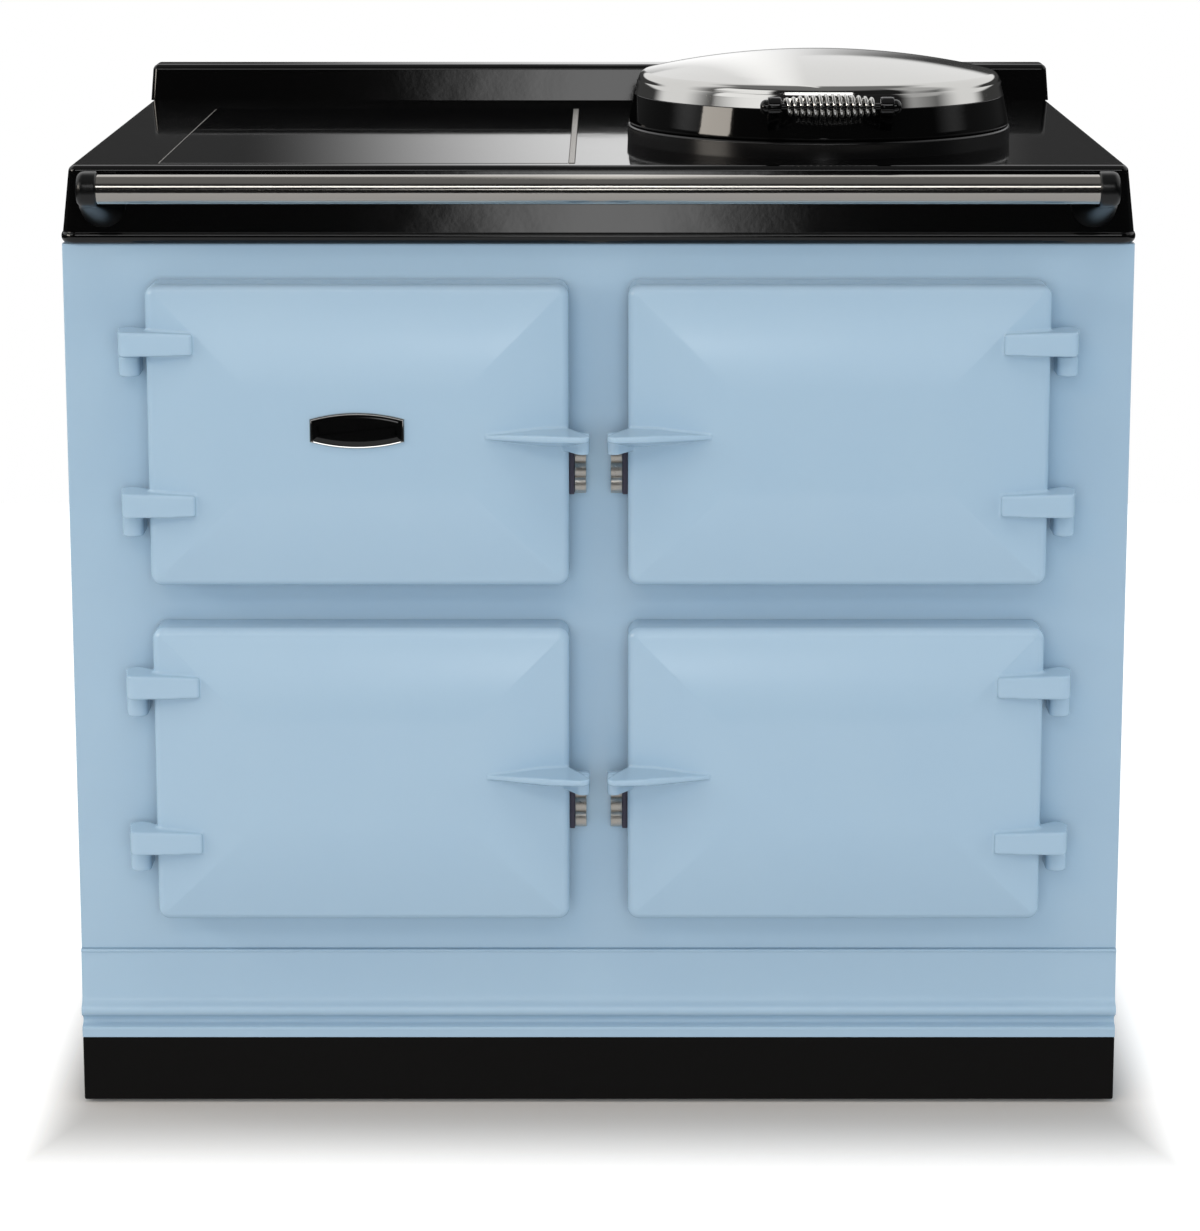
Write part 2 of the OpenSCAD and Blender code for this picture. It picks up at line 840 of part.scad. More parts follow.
module lid_handle_lugs() {
    color(black) at_lid()
        difference() {
            for (s = [-1, 1])
                hull() {
                    translate([s * lug_x, handle_y, handle_z])
                        rotate([0, 90, 0])
                            cylinder(r = lug_r, h = lug_w, center = true, $fn = few);
                    translate([s * lug_x - lug_w / 2, lug_seat_y, lid_z + lug_foot_rise])
                        cube([lug_w, thin, lug_foot_h]);
                }
            ring_seat();
            translate([0, handle_y, handle_z])
                rotate([0, 90, 0])
                    cylinder(r = handle_rod_r, h = coil_len + 2 * lug_w + over, center = true);
        }
}

// The rod inside the coil, with a nut outside each lug
module lid_handle_rod() {
    color(steel) at_lid()
        translate([0, handle_y, handle_z]) {
            rotate([0, 90, 0])
                cylinder(r = handle_rod_r, h = coil_len + 2 * lug_w, center = true);
            for (s = [-1, 1])
                translate([s * (coil_len / 2 + lug_w), 0, 0])
                    rotate([0, s * 90, 0])
                        cylinder(r1 = rod_cap_r, r2 = rod_cap_nose, h = rod_cap_t);
        }
}

// The coil: a barrel-shaped helix whose wire ends run straight into the lugs
coil_rings = 8;                             // rings on each curl
coil_sides = 6;
coil_steps = coil_turns * coil_rings;
coil_run = coil_len - 2 * coil_wire;

function barrel(t) = coil_end_r + (coil_r - coil_end_r) * sin(180 * t);
function curl_angle(t) = 360 * coil_turns * t;
function curl_point(t) = let (a = curl_angle(t))
    [coil_run * (t - 0.5), barrel(t) * cos(a), barrel(t) * sin(a)];
coil_end = [coil_wire, 0, 0];
coil_path = concat([curl_point(0) - coil_end], [for (i = [0:coil_steps]) curl_point(i / coil_steps)],
    [curl_point(1) + coil_end]);
coil_last = len(coil_path) - 1;

function unit(v) = v / norm(v);
function heading(i) = i == 0 || i == coil_last ? [1, 0, 0]
    : unit(unit(coil_path[i + 1] - coil_path[i]) + unit(coil_path[i] - coil_path[i - 1]));
function outward(i) = unit([0, coil_path[i][1], coil_path[i][2]]);
function square_to(v, t) = unit(v - (v * t) * t);
function wire_ring(i) = let (t = heading(i), n = square_to(outward(i), t), b = cross(t, n))
    [for (k = [0:coil_sides - 1])
        coil_path[i] + coil_wire / 2 * (cos(360 * k / coil_sides) * n + sin(360 * k / coil_sides) * b)];

coil_points = [for (i = [0:coil_last]) each wire_ring(i)];
coil_faces = concat(
    [for (i = [0:coil_last - 1]) for (k = [0:coil_sides - 1])
        each [[i * coil_sides + k, (i + 1) * coil_sides + k, i * coil_sides + (k + 1) % coil_sides],
            [i * coil_sides + (k + 1) % coil_sides, (i + 1) * coil_sides + k,
                (i + 1) * coil_sides + (k + 1) % coil_sides]]],
    [[for (k = [0:coil_sides - 1]) k]],
    [[for (k = [coil_sides - 1:-1:0]) coil_last * coil_sides + k]]);

// The least space between neighbouring curls
coil_gap = min([for (i = [0:coil_last - coil_rings + 1])
    for (j = [i + coil_rings - 1:min(i + 2 * coil_rings, coil_last)])
        norm(coil_path[i] - coil_path[j])]) - coil_wire;

module lid_handle_coil() {
    echo(coil_gap = coil_gap);
    color(steel) at_lid()
        translate([0, handle_y, handle_z])
            polyhedron(coil_points, coil_faces, convexity = 10);
}

// ---------------------------------------------------------------- doors

// Puts a left-hand door, drawn from its hinge edge and foot, into one of the four doorways
module place_door(right, upper) {
    from_front()
        mirror([right, 0, 0])
            translate([-door_gap_x / 2 - door_w, 0, upper ? upper_z : door_z])
                children();
}

// The door's front, slice by slice: [inset from the edge, distance from the front plate].
// The rim turns over in a quarter circle, then the hip rises ever more gently to the panel.
door_edge_r = 8;
door_hip_w = 88;                            // from the rim's edge to the flat of the panel
door_slices = concat([[0, door_back]],
    [for (a = [0:30:90]) [door_edge_r * (1 - cos(a)), door_rim_d - door_edge_r * (1 - sin(a))]],
    [for (t = [0.27, 0.62, 1])
        [door_edge_r + door_hip_w * t, door_rim_d + door_crown * (1 - pow(1 - t, 3))]]);
door_least_r = 2;                           // corner radius of the innermost slices

module door_slice(inset, y) {
    translate([door_w / 2, 0, door_h / 2])
        along_y(-y, thin - y)
            polygon(round_rect(door_w - 2 * inset, door_h - 2 * inset,
                max(door_corner_r - inset, door_least_r), 4));
}

arm_nose_r = 9;                             // the arm's rounded end, in front of its boss
arm_nose_in = 1.5;
arm_tip_r = 3;
arm_tip_x = 42;
arm_tip_h = 19;
arm_proud = 9;                              // how far the arm's flat front stands past the rim

// A cast arm from the door's face out to the boss over the hinge pin
module hinge_arm(z) {
    hull() {
        translate([-hinge_out, -hinge_off, z - hinge_h / 2])
            cylinder(r = hinge_r, h = hinge_h, $fn = few);
        translate([arm_nose_in - hinge_out, arm_nose_r - arm_proud - door_rim_d, z - hinge_h / 2])
            cylinder(r = arm_nose_r, h = hinge_h, $fn = few);
        translate([arm_tip_x, arm_tip_r - arm_proud - door_rim_d, z - arm_tip_h / 2])
            cylinder(r = arm_tip_r, h = arm_tip_h, $fn = few);
    }
}

fin_root_h = 17;                            // height of the fin where it joins the boss
fin_lip_h = 5;                              // height of the fin at its nose
fin_nose_r = 8;
fin_nose_drop = 1;                          // the nose's top lies this far under the root's
fin_run = 26;                               // straight part of the nose
fin_fall = 3;                               // how far the nose falls back along it
fin_tip_w = 2;
fin_tip_h = 4;
fin_tip_drop = 6;                           // the fin's top falls this far to its tip
fin_end_x = door_w + boss_over;
fin_top = fin_z + boss_h;
fin_nose_y = fin_nose_r - panel_y - fin_reach;

// The handle: a fin that grows out of the door's panel to a rounded nose
module handle_fin() {
    hull() {
        block([fin_end_x - fin_len, -panel_y, fin_top - fin_tip_drop - fin_tip_h],
            [fin_end_x - fin_len + fin_tip_w, -door_rim_d, fin_top - fin_tip_drop]);
        block([fin_end_x - fin_len / 2, thin - panel_y, fin_top - fin_root_h],
            [door_w, -door_rim_d, fin_top]);
        translate([fin_end_x - fin_nose_r, fin_nose_y, fin_top - fin_lip_h - fin_nose_drop])
            cylinder(r = fin_nose_r, h = fin_lip_h, $fn = few);
        translate([fin_end_x - fin_nose_r - fin_run, fin_nose_y + fin_fall,
            fin_top - fin_lip_h - fin_nose_drop / 2])
            cylinder(r = fin_nose_r, h = fin_lip_h - fin_nose_drop / 2, $fn = few);
    }
}

boss_back = 14;                             // front plate to the back of the handle's boss
boss_bite = 6;                              // how far the boss runs into the door
boss_nose_r = 6;
boss_nose_out = 5.5;                        // how far the boss's nose stands past the panel
boss_edge = 2;
boss_slope = 11;                            // the boss's top falls this far to its back

// The boss at the handle's end, which closes down over the catch
module handle_boss() {
    hull() {
        block([door_w - boss_bite, -door_rim_d, fin_z], [fin_end_x, -boss_back, fin_top - boss_slope]);
        translate([fin_end_x - boss_nose_r, -panel_y - boss_nose_out, fin_z + boss_edge])
            cylinder(r = boss_nose_r, h = boss_h - 2 * boss_edge, $fn = few);
    }
}

inner_r = 4;                                // corner radius inside the casting
bore_cap = 4;                               // metal over a hinge pin's end

module door() {
    color(blue)
        difference() {
            union() {
                hull()
                    for (s = door_slices)
                        door_slice(s[0], s[1]);
                hinge_arm(hinge_low);
                hinge_arm(hinge_high);
                handle_fin();
                handle_boss();
            }
            translate([door_w / 2, 0, door_h / 2])
                along_y(door_wall - door_rim_d, over)
                    polygon(round_rect(door_w - 2 * door_wall, door_h - 2 * door_wall, inner_r, coarse));
            for (z = [hinge_low, hinge_high])
                translate([-hinge_out, -hinge_off, z - hinge_h / 2 - over])
                    cylinder(r = pin_r + pin_fit, h = hinge_h - bore_cap + over);
        }
}

liner_y = 6;                                // front plate to the liner's face, behind the door
liner_sheet = 4;
plug_in = 8;                                // how far the liner's plug enters the oven's mouth
plug_clear = 12;
plug_corner_r = 8;

// The pressed liner that closes the door's back
module door_liner() {
    color([0.62, 0.62, 0.6])
        translate([door_w / 2, 0, door_h / 2]) {
            along_y(-liner_y - liner_sheet, -liner_y)
                polygon(round_rect(door_w - 2 * door_wall - 2 * inlay,
                    door_h - 2 * door_wall - 2 * inlay, inner_r, coarse));
            along_y(-liner_y - thin, plug_in)
                polygon(round_rect(oven_w - 2 * plug_clear, oven_h - 2 * plug_clear,
                    plug_corner_r, coarse));
        }
}

seal_w = 6;
seal_out = 3;                               // oven's mouth to the seal
seal_r = 4;                                 // radius of its inner corners

// The woven rope seal round the oven's mouth
module door_seal() {
    color([0.45, 0.45, 0.43])
        translate([door_w / 2, 0, door_h / 2])
            along_y(-liner_y, -gap)
                difference() {
                    polygon(round_rect(oven_w + 2 * (seal_out + seal_w),
                        oven_h + 2 * (seal_out + seal_w), seal_r + seal_w));
                    polygon(round_rect(oven_w + 2 * seal_out, oven_h + 2 * seal_out, seal_r));
                }
}

module door_top_left() place_door(0, true) door();
module door_top_right() place_door(1, true) door();
module door_bottom_left() place_door(0, false) door();
module door_bottom_right() place_door(1, false) door();
module liner_top_left() place_door(0, true) door_liner();
module liner_top_right() place_door(1, true) door_liner();
module liner_bottom_left() place_door(0, false) door_liner();
module liner_bottom_right() place_door(1, false) door_liner();
module seal_top_left() place_door(0, true) door_seal();
module seal_top_right() place_door(1, true) door_seal();
module seal_bottom_left() place_door(0, false) door_seal();
module seal_bottom_right() place_door(1, false) door_seal();

badge_w = 88;
badge_h = 34;
badge_t = 3;
badge_bulge_r = 160;
badge_z = 151;                              // door's foot to the badge's middle

// The bare plate on the upper left door: straight ends, bowed top and foot
module badge_plate() {
    place_door(0, true)
        color(black)
            translate([door_w / 2, 0, badge_z])
                along_y(-panel_y - badge_t, -panel_y)
                    intersection() {
                        square([badge_w, badge_h], center = true);
                        translate([0, badge_h / 2 - badge_bulge_r])
                            circle(r = badge_bulge_r, $fn = fine);
                        translate([0, badge_bulge_r - badge_h / 2])
                            circle(r = badge_bulge_r, $fn = fine);
                    }
}

// ---------------------------------------------------------------- hinges and catches

washer_t = 3;
washer_in = 2;                              // the washer's edge lies this far inside the boss
lug_in = 0.5;                               // and the lug's this far
pin_seat = 4;                               // metal under a pin in its lug
pin_short = 2;                              // a pin's end to the bottom of its bore
washer_z = hinge_h / 2 + gap + washer_t;    // arm's middle down to the lug's top

// Places its children on each hinge axis, at the height of the lug's top
module at_hinges() {
    from_front()
        both_sides()
            for (z = [door_z + hinge_low, door_z + hinge_high, upper_z + hinge_low, upper_z + hinge_high])
                translate([-axis_x, -hinge_off, z - washer_z])
                    children();
}

module hinge_lugs() {
    color(blue)
        at_hinges()
            difference() {
                union() {
                    translate([0, 0, -lug_h])
                        cylinder(r = hinge_r - lug_in, h = lug_h);
                    block([lug_in - hinge_r, 0, -lug_h], [hinge_r - lug_in, hinge_off, 0]);
                }
                translate([0, 0, pin_seat - lug_h])
                    cylinder(r = pin_r + pin_fit / 2, h = lug_h);
            }
}

module hinge_pins() {
    color(steel)
        at_hinges()
            translate([0, 0, pin_seat - lug_h])
                cylinder(r = pin_r, h = lug_h - pin_seat + washer_t + hinge_h - bore_cap - pin_short);
}

module hinge_washers() {
    color(dark)
        at_hinges()
            difference() {
                cylinder(r = hinge_r - washer_in, h = washer_t);
                translate([0, 0, -over])
                    cylinder(r = pin_r + pin_fit, h = washer_t + 2 * over);
            }
}

catch_x = 11.5;                             // centre line to the catch's inner face
catch_bump_r = 9.5;
catch_out = 5;                              // front plate to the bumps' centres
bracket_w = 5;
bracket_in = 2;                             // the bracket's edge lies this far behind the bumps
bracket_drop = 3;                           // and its top this far under the catch's
catch_top = fin_z - gap;                    // just under the handle's boss

// Places its children at the door's foot, beside the centre line
module at_catches() {
    from_front()
        both_sides()
            for (z = [door_z, upper_z])
                translate([0, 0, z])
                    children();
}

catch_bumps = 3;
bump_pitch = (catch_h - 2 * catch_bump_r) / (catch_bumps - 1);

// A polished strip folded over a row of round bumps
module door_catches() {
    color([0.8, 0.8, 0.8])
        at_catches()
            translate([catch_x + catch_w / 2, 0, 0])
                along_x(catch_w)
                    intersection() {
                        translate([-catch_out - catch_bump_r, catch_top - catch_h])
                            square([catch_out + catch_bump_r, catch_h]);
                        union() {
                            for (i = [0:catch_bumps - 1])
                                translate([-catch_out, catch_top - catch_bump_r - i * bump_pitch])
                                    circle(r = catch_bump_r, $fn = few);
                            translate([-catch_out, catch_top - catch_h])
                                square([catch_out, catch_h]);
                        }
                    }
}

module catch_brackets() {
    color(dark)
        at_catches()
            block([catch_x + catch_w, bracket_in - catch_out - catch_bump_r, catch_top - catch_h],
                [catch_x + catch_w + bracket_w - gap, 0, catch_top - bracket_drop]);
}

// ---------------------------------------------------------------- ovens and controls

ledge_w = 7;
ledge_h = 5;
ledge_pitch = 55;
ledge_rows = [for (i = [0:2]) shelf_z + i * ledge_pitch];
ledge_bite = 0.1;                           // how far a ledge runs into the oven's wall
ledge_front = 20;

// An open-fronted box behind one doorway
module oven_box(right, upper, depth) {
    from_front()
        translate([right ? door_x : -door_x, front_t, (upper ? upper_z : door_z) + oven_in_z])
            difference() {
                block([-oven_w / 2 - oven_t, 0, -oven_t],
                    [oven_w / 2 + oven_t, depth + oven_t, oven_h + oven_t]);
                block([-oven_w / 2, -over, 0], [oven_w / 2, depth, oven_h]);
            }
}

module oven(right, upper) {
    oven_box(right, upper, oven_d);
    from_front()
        translate([right ? door_x : -door_x, front_t, (upper ? upper_z : door_z) + oven_in_z])
            both_sides()
                for (z = ledge_rows)
                    block([oven_w / 2 - ledge_w, ledge_front, z - ledge_h],
                        [oven_w / 2 + ledge_bite, oven_d, z]);
}

module roasting_oven() color([0.25, 0.25, 0.26]) oven(true, true);
module baking_oven() color([0.25, 0.25, 0.26]) oven(true, false);
module simmering_oven() color([0.25, 0.25, 0.26]) oven(false, false);

control_d = 60;                             // depth of the control compartment
module control_box() {
    color([0.3, 0.3, 0.31])
        difference() {
            oven_box(false, true, control_d);
            for (x = knob_places)
                from_front()
                    translate([x - door_x, front_t, upper_z + door_h / 2])
                        rotate([-90, 0, 0])
                            cylinder(r = spindle_r + pin_fit, h = control_d + 2 * oven_t);
        }
}

knob_pitch = 95;
knob_places = [-knob_pitch, 0, knob_pitch];
knob_r = 21;
knob_h = 22;
skirt_h = 8;                                // height of the knob's round skirt
skirt_edge = 3;
spindle_r = 4;
spindle_len = 12;
grip_w = 9;
grip_in = 2;                                // skirt's edge to the grip's end

// A turned knob with a raised grip, on a spindle through the control panel
module knob(x) {
    color(black) from_front()
        translate([x - door_x, front_t + control_d - gap, upper_z + door_h / 2])
            rotate([90, 0, 0]) {
                rotate_extrude()
                    polygon([[0, 0], [knob_r, 0], [knob_r, skirt_h - skirt_edge],
                        [knob_r - skirt_edge, skirt_h], [0, skirt_h]]);
                block([-grip_w / 2, grip_in - knob_r, skirt_h - over],
                    [grip_w / 2, knob_r - grip_in, knob_h]);
                translate([0, 0, -spindle_len])
                    cylinder(r = spindle_r, h = spindle_len + over);
            }
}

module knob_left() knob(knob_places[0]);
module knob_middle() knob(knob_places[1]);
module knob_right() knob(knob_places[2]);

rod_r = 3;
wire_r = 2;
wires = 12;
shelf_side = 2.5;                           // oven wall to the shelf's rod
shelf_stop = 10;                            // a shelf pulled out ends this far inside the mouth

// A grid shelf: a rod frame with wires from front to back
module shelf(right, upper) {
    w = oven_w - 2 * shelf_side - 2 * rod_r;
    y0 = shelf_travel + shelf_stop;
    y1 = y0 + shelf_d;
    color(steel) from_front()
        translate([right ? door_x : -door_x, front_t,
            (upper ? upper_z : door_z) + oven_in_z + shelf_z + gap + rod_r]) {
            for (s = [-1, 1])
                translate([s * w / 2, y0, 0])
                    rotate([-90, 0, 0])
                        cylinder(r = rod_r, h = shelf_d, $fn = 16);
            for (y = [y0 + rod_r, y1 - rod_r])
                translate([0, y, 0])
                    rotate([0, 90, 0])
                        cylinder(r = rod_r, h = w, center = true, $fn = 16);
            for (i = [1:wires])
                translate([-w / 2 + i * w / (wires + 1), y0 + rod_r, 0])
                    rotate([-90, 0, 0])
                        cylinder(r = wire_r, h = shelf_d - 2 * rod_r, $fn = 13);
        }
}

module shelf_roasting() shelf(true, true);
module shelf_baking() shelf(true, false);
module shelf_simmering() shelf(false, false);

// ---------------------------------------------------------------- screws of the back panel

screw_r = 4;
screw_h = 2.5;
screw_edge = 12;                            // panel's edge to the screws
screw_inset = 30;                           // panel's foot to the lowest screw
screw_rows = 4;

module screw_head() {
    rotate_extrude($fn = few)
        polygon([[0, 0], [screw_r, 0], [screw_r, screw_h / 3], [screw_r / 2, screw_h], [0, screw_h]]);
}

module panel_screws() {
    color(steel) from_front()
        both_sides()
            for (i = [0:screw_rows - 1])
                translate([half_w - screw_edge, case_back + back_t,
                    plinth_h + screw_inset
                        + i * (foot_z - plinth_h - 2 * screw_inset) / (screw_rows - 1)])
                    rotate([-90, 0, 0])
                        screw_head();
}

levelling_feet();
base_pan();
plinth();
skirting();
chassis_frame();
front_plate();
side_panels();
back_panel();
cable_grommet();
insulation();
top_plate();
upstand();
towel_rail();
rail_brackets();
hob_glass();
hob_strip();
induction_tray();
induction_coils();
hotplate();
hotplate_surround();
hotplate_element();
lid_shell();
lid_ring();
lid_liner();
lid_insulation();
lid_hinge_arm();
lid_hinge_bracket();
lid_hinge_pin();
lid_handle_lugs();
lid_handle_rod();
lid_handle_coil();
hinge_lugs();
hinge_pins();
hinge_washers();
door_catches();
catch_brackets();
door_top_left();
door_top_right();
door_bottom_left();
door_bottom_right();
liner_top_left();
liner_top_right();
liner_bottom_left();
liner_bottom_right();
seal_top_left();
seal_top_right();
seal_bottom_left();
seal_bottom_right();
badge_plate();
roasting_oven();
baking_oven();
simmering_oven();
control_box();
shelf_roasting();
shelf_baking();
shelf_simmering();
knob_left();
knob_middle();
knob_right();
panel_screws();
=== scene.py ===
import json
import math

import bmesh
import bpy
from mathutils import Matrix, Vector


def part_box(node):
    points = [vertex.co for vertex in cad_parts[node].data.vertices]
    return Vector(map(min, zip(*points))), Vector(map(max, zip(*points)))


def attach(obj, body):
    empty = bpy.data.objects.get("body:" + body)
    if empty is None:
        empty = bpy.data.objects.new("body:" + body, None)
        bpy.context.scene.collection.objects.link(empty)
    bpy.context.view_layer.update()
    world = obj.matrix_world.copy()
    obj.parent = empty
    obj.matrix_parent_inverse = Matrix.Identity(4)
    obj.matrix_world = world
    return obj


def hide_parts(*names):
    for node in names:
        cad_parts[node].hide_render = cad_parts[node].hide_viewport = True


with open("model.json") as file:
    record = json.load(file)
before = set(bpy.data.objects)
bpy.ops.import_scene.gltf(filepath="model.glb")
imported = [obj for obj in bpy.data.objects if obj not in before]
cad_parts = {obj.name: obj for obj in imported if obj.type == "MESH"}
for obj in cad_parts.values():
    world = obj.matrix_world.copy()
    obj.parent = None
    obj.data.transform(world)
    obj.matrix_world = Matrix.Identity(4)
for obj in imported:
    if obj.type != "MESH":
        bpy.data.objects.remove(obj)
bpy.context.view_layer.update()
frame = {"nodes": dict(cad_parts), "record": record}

# Shapes are drawn in millimetres, with x from the cooker's middle, y back from the front plate's
# face and z up from the floor. piece() brings them into the frame, which is in metres.

MM = 0.001
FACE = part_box("front_plate")[0].y
SIDES = (-1, 1)
DOORS = ("top_left", "top_right", "bottom_left", "bottom_right")


def corners(node):
    """A node's lowest and highest corners, in millimetres from the front plate's face."""
    shift = Vector((0, FACE, 0))
    return tuple((corner - shift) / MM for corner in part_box(node))


def middle(node):
    """The middle of a node's box."""
    low, high = corners(node)
    return (low + high) / 2


def placed(name, data):
    """A new object in the scene."""
    made = bpy.data.objects.new(name, data)
    bpy.context.scene.collection.objects.link(made)
    return made


def as_mesh(bm, name="work"):
    """A bmesh's shape as a mesh; the bmesh is used up."""
    mesh = bpy.data.meshes.new(name)
    bm.to_mesh(mesh)
    bm.free()
    return mesh


# ---------------- ways of making a shape

def arc(centre, radius, start, end, steps=6):
    """Points along an arc in a plane, angles in degrees."""
    turns = [math.radians(start + (end - start) * i / steps) for i in range(steps + 1)]
    return [(centre[0] + radius * math.cos(a), centre[1] + radius * math.sin(a)) for a in turns]


def shape(make, *values, **settings):
    """A new bmesh with one shape in it."""
    bm = bmesh.new()
    make(bm, *values, **settings)
    return bm


def block(bm, low, high):
    """A cuboid between two corners."""
    low, high = Vector(low), Vector(high)
    verts = bmesh.ops.create_cube(bm, size=1)["verts"]
    bmesh.ops.scale(bm, vec=high - low, verts=verts)
    bmesh.ops.translate(bm, vec=(high + low) / 2, verts=verts)
    return verts


def bar(bm, low, high, axis, radius, segments):
    """A cuboid whose four edges along one axis are rounded."""
    round_edges(bm, edges_along(block(bm, low, high), axis), radius, segments)


def drum(bm, start, end, radius, segments=48):
    """A closed cylinder from one point to another."""
    start, end = Vector(start), Vector(end)
    aim = (end - start).to_track_quat("Z", "Y").to_matrix().to_4x4()
    return bmesh.ops.create_cone(
        bm, cap_ends=True, segments=segments, radius1=radius, radius2=radius,
        depth=(end - start).length, matrix=Matrix.Translation((start + end) / 2) @ aim)["verts"]


def hull(bm, *groups):
    """Wraps one skin round the given vertices."""
    made = bmesh.ops.convex_hull(bm, input=[v for group in groups for v in group])
    spare = {g for g in made["geom_interior"] + made["geom_unused"]
             if isinstance(g, bmesh.types.BMVert)}
    bmesh.ops.delete(bm, geom=list(spare), context="VERTS")


def extruded(bm, outline, run):
    """A flat outline of 3-D points, drawn out along a vector."""
    face = bm.faces.new([bm.verts.new(p) for p in outline])
    made = bmesh.ops.extrude_face_region(bm, geom=[face])["geom"]
    moved = [g for g in made if isinstance(g, bmesh.types.BMVert)]
    bmesh.ops.translate(bm, vec=run, verts=moved)
    bmesh.ops.recalc_face_normals(bm, faces=bm.faces)


def turned(bm, outline, centre=(0, 0, 0), axis="Z", closed=False, segments=128):
    """A lathe-turned shape: the outline's points are (radius, distance along the axis)."""
    before = set(bm.verts)
    verts = [bm.verts.new((r, 0, h)) for r, h in outline]
    pairs = list(zip(verts, verts[1:])) + ([(verts[-1], verts[0])] if closed else [])
    edges = [bm.edges.new(pair) for pair in pairs]
    bmesh.ops.spin(bm, geom=verts + edges, cent=(0, 0, 0), axis=(0, 0, 1),
                   angle=math.tau, steps=segments, use_merge=True)
    bmesh.ops.remove_doubles(bm, verts=[v for v in bm.verts if v not in before], dist=0.001)
    made = [v for v in bm.verts if v not in before]
    turn = {"X": Matrix.Rotation(math.pi / 2, 4, "Y"), "Z": Matrix.Identity(4),
            "Y": Matrix.Rotation(-math.pi / 2, 4, "X")}[axis]
    bmesh.ops.transform(bm, matrix=Matrix.Translation(centre) @ turn, verts=made)


def drawn(points, radius, sides=10, closed=False):
    """Wire or tube drawn along points."""
    data = bpy.data.curves.new("wire", "CURVE")
    data.dimensions = "3D"
    data.bevel_depth = radius
    data.bevel_resolution = (sides - 4) // 2
    data.use_fill_caps = True
    line = data.splines.new("POLY")
    line.points.add(len(points) - 1)
    for point, place in zip(line.points, points):
        point.co = (*place, 1)
    line.use_cyclic_u = closed
    wire = placed("wire", data)
    shown = wire.evaluated_get(bpy.context.evaluated_depsgraph_get())
    mesh = bpy.data.meshes.new_from_object(shown)
    bm = bmesh.new()
    bm.from_mesh(mesh)
    bmesh.ops.remove_doubles(bm, verts=bm.verts, dist=0.001)
    bpy.data.objects.remove(wire)
    bpy.data.meshes.remove(mesh)
    return bm


def copy_of(node):
    """A CAD node's mesh as one welded skin."""
    bm = bmesh.new()
    bm.from_mesh(frame["nodes"][node].data)
    bmesh.ops.translate(bm, vec=(0, -FACE, 0), verts=bm.verts)
    bmesh.ops.scale(bm, vec=(1 / MM, 1 / MM, 1 / MM), verts=bm.verts)
    bmesh.ops.remove_doubles(bm, verts=bm.verts, dist=0.002)
    bmesh.ops.dissolve_limit(bm, angle_limit=math.radians(1), verts=bm.verts, edges=bm.edges)
    return bm


# ---------------- ways of changing a shape

def round_edges(bm, edges, radius, segments=4):
    """Rolls edges over in a radius."""
    bmesh.ops.bevel(bm, geom=list(edges), offset=radius, offset_type="OFFSET", segments=segments,
                    profile=0.5, affect="EDGES", material=-1, clamp_overlap=True)


def edges_along(verts, axis):
    """The edges between these vertices that run along one axis."""
    chosen = set(verts)
    return [e for e in {e for v in chosen for e in v.link_edges}
            if set(e.verts) <= chosen
            and abs((e.verts[0].co - e.verts[1].co).normalized()[axis]) > 0.99]


def edges_at(bm, axis, place):
    """The sharp edges that lie in one plane."""
    return [e for e in bm.edges if all(abs(v.co[axis] - place) < 0.01 for v in e.verts)
            and len(e.link_faces) == 2 and e.calc_face_angle() > 0.5]


def soft_block(bm, low, high, radius, segments=3):
    """A cuboid with every edge rounded."""
    verts = block(bm, low, high)
    round_edges(bm, {e for v in verts for e in v.link_edges}, radius, segments)


def face_towards(bm, direction):
    """The face that lies furthest in a direction and looks that way."""
    direction = Vector(direction)
    facing = [f for f in bm.faces if f.normal.dot(direction) > 0.9]
    return max(facing, key=lambda f: f.calc_center_median().dot(direction))


def steps_in(bm, face, steps):
    """Draws a face in and out step by step: each step is (inwards, outwards)."""
    for inwards, outwards in steps:
        bmesh.ops.inset_region(bm, faces=[face], thickness=inwards, depth=outwards,
                               use_even_offset=True)


def between(profile):
    """The steps between the points of a profile."""
    return [(b[0] - a[0], b[1] - a[1]) for a, b in zip(profile, profile[1:])]


def pinch(bm, face, x, y, z):
    """Gathers the vertices of a face's four rounded corners into one point each."""
    places = [(i * x, y, k * z) for i in SIDES for k in SIDES]
    rounds = [[v for v in face.verts if (v.co - Vector(place)).length < 3] for place in places]
    for verts, place in zip(rounds, places):
        bmesh.ops.pointmerge(bm, verts=verts, merge_co=place)


def sliced(bm, point, normal):
    """Cuts away what lies beyond a plane and closes the cut."""
    made = bmesh.ops.bisect_plane(bm, geom=bm.verts[:] + bm.edges[:] + bm.faces[:], dist=0.001,
                                  plane_co=point, plane_no=normal, clear_outer=True)
    rim = [g for g in made["geom_cut"] if isinstance(g, bmesh.types.BMEdge)]
    bmesh.ops.holes_fill(bm, edges=rim)


def join(bm, *others):
    """Adds other bmeshes' faces to one."""
    for other in others:
        mesh = as_mesh(other)
        bm.from_mesh(mesh)
        bpy.data.meshes.remove(mesh)
    return bm


def stamped(pattern, places):
    """Copies of one shape, each put in its place by a matrix."""
    mesh = as_mesh(pattern)
    bm = bmesh.new()
    for place in places:
        old = set(bm.verts)
        bm.from_mesh(mesh)
        bmesh.ops.transform(bm, matrix=place, verts=[v for v in bm.verts if v not in old])
    bpy.data.meshes.remove(mesh)
    return bm


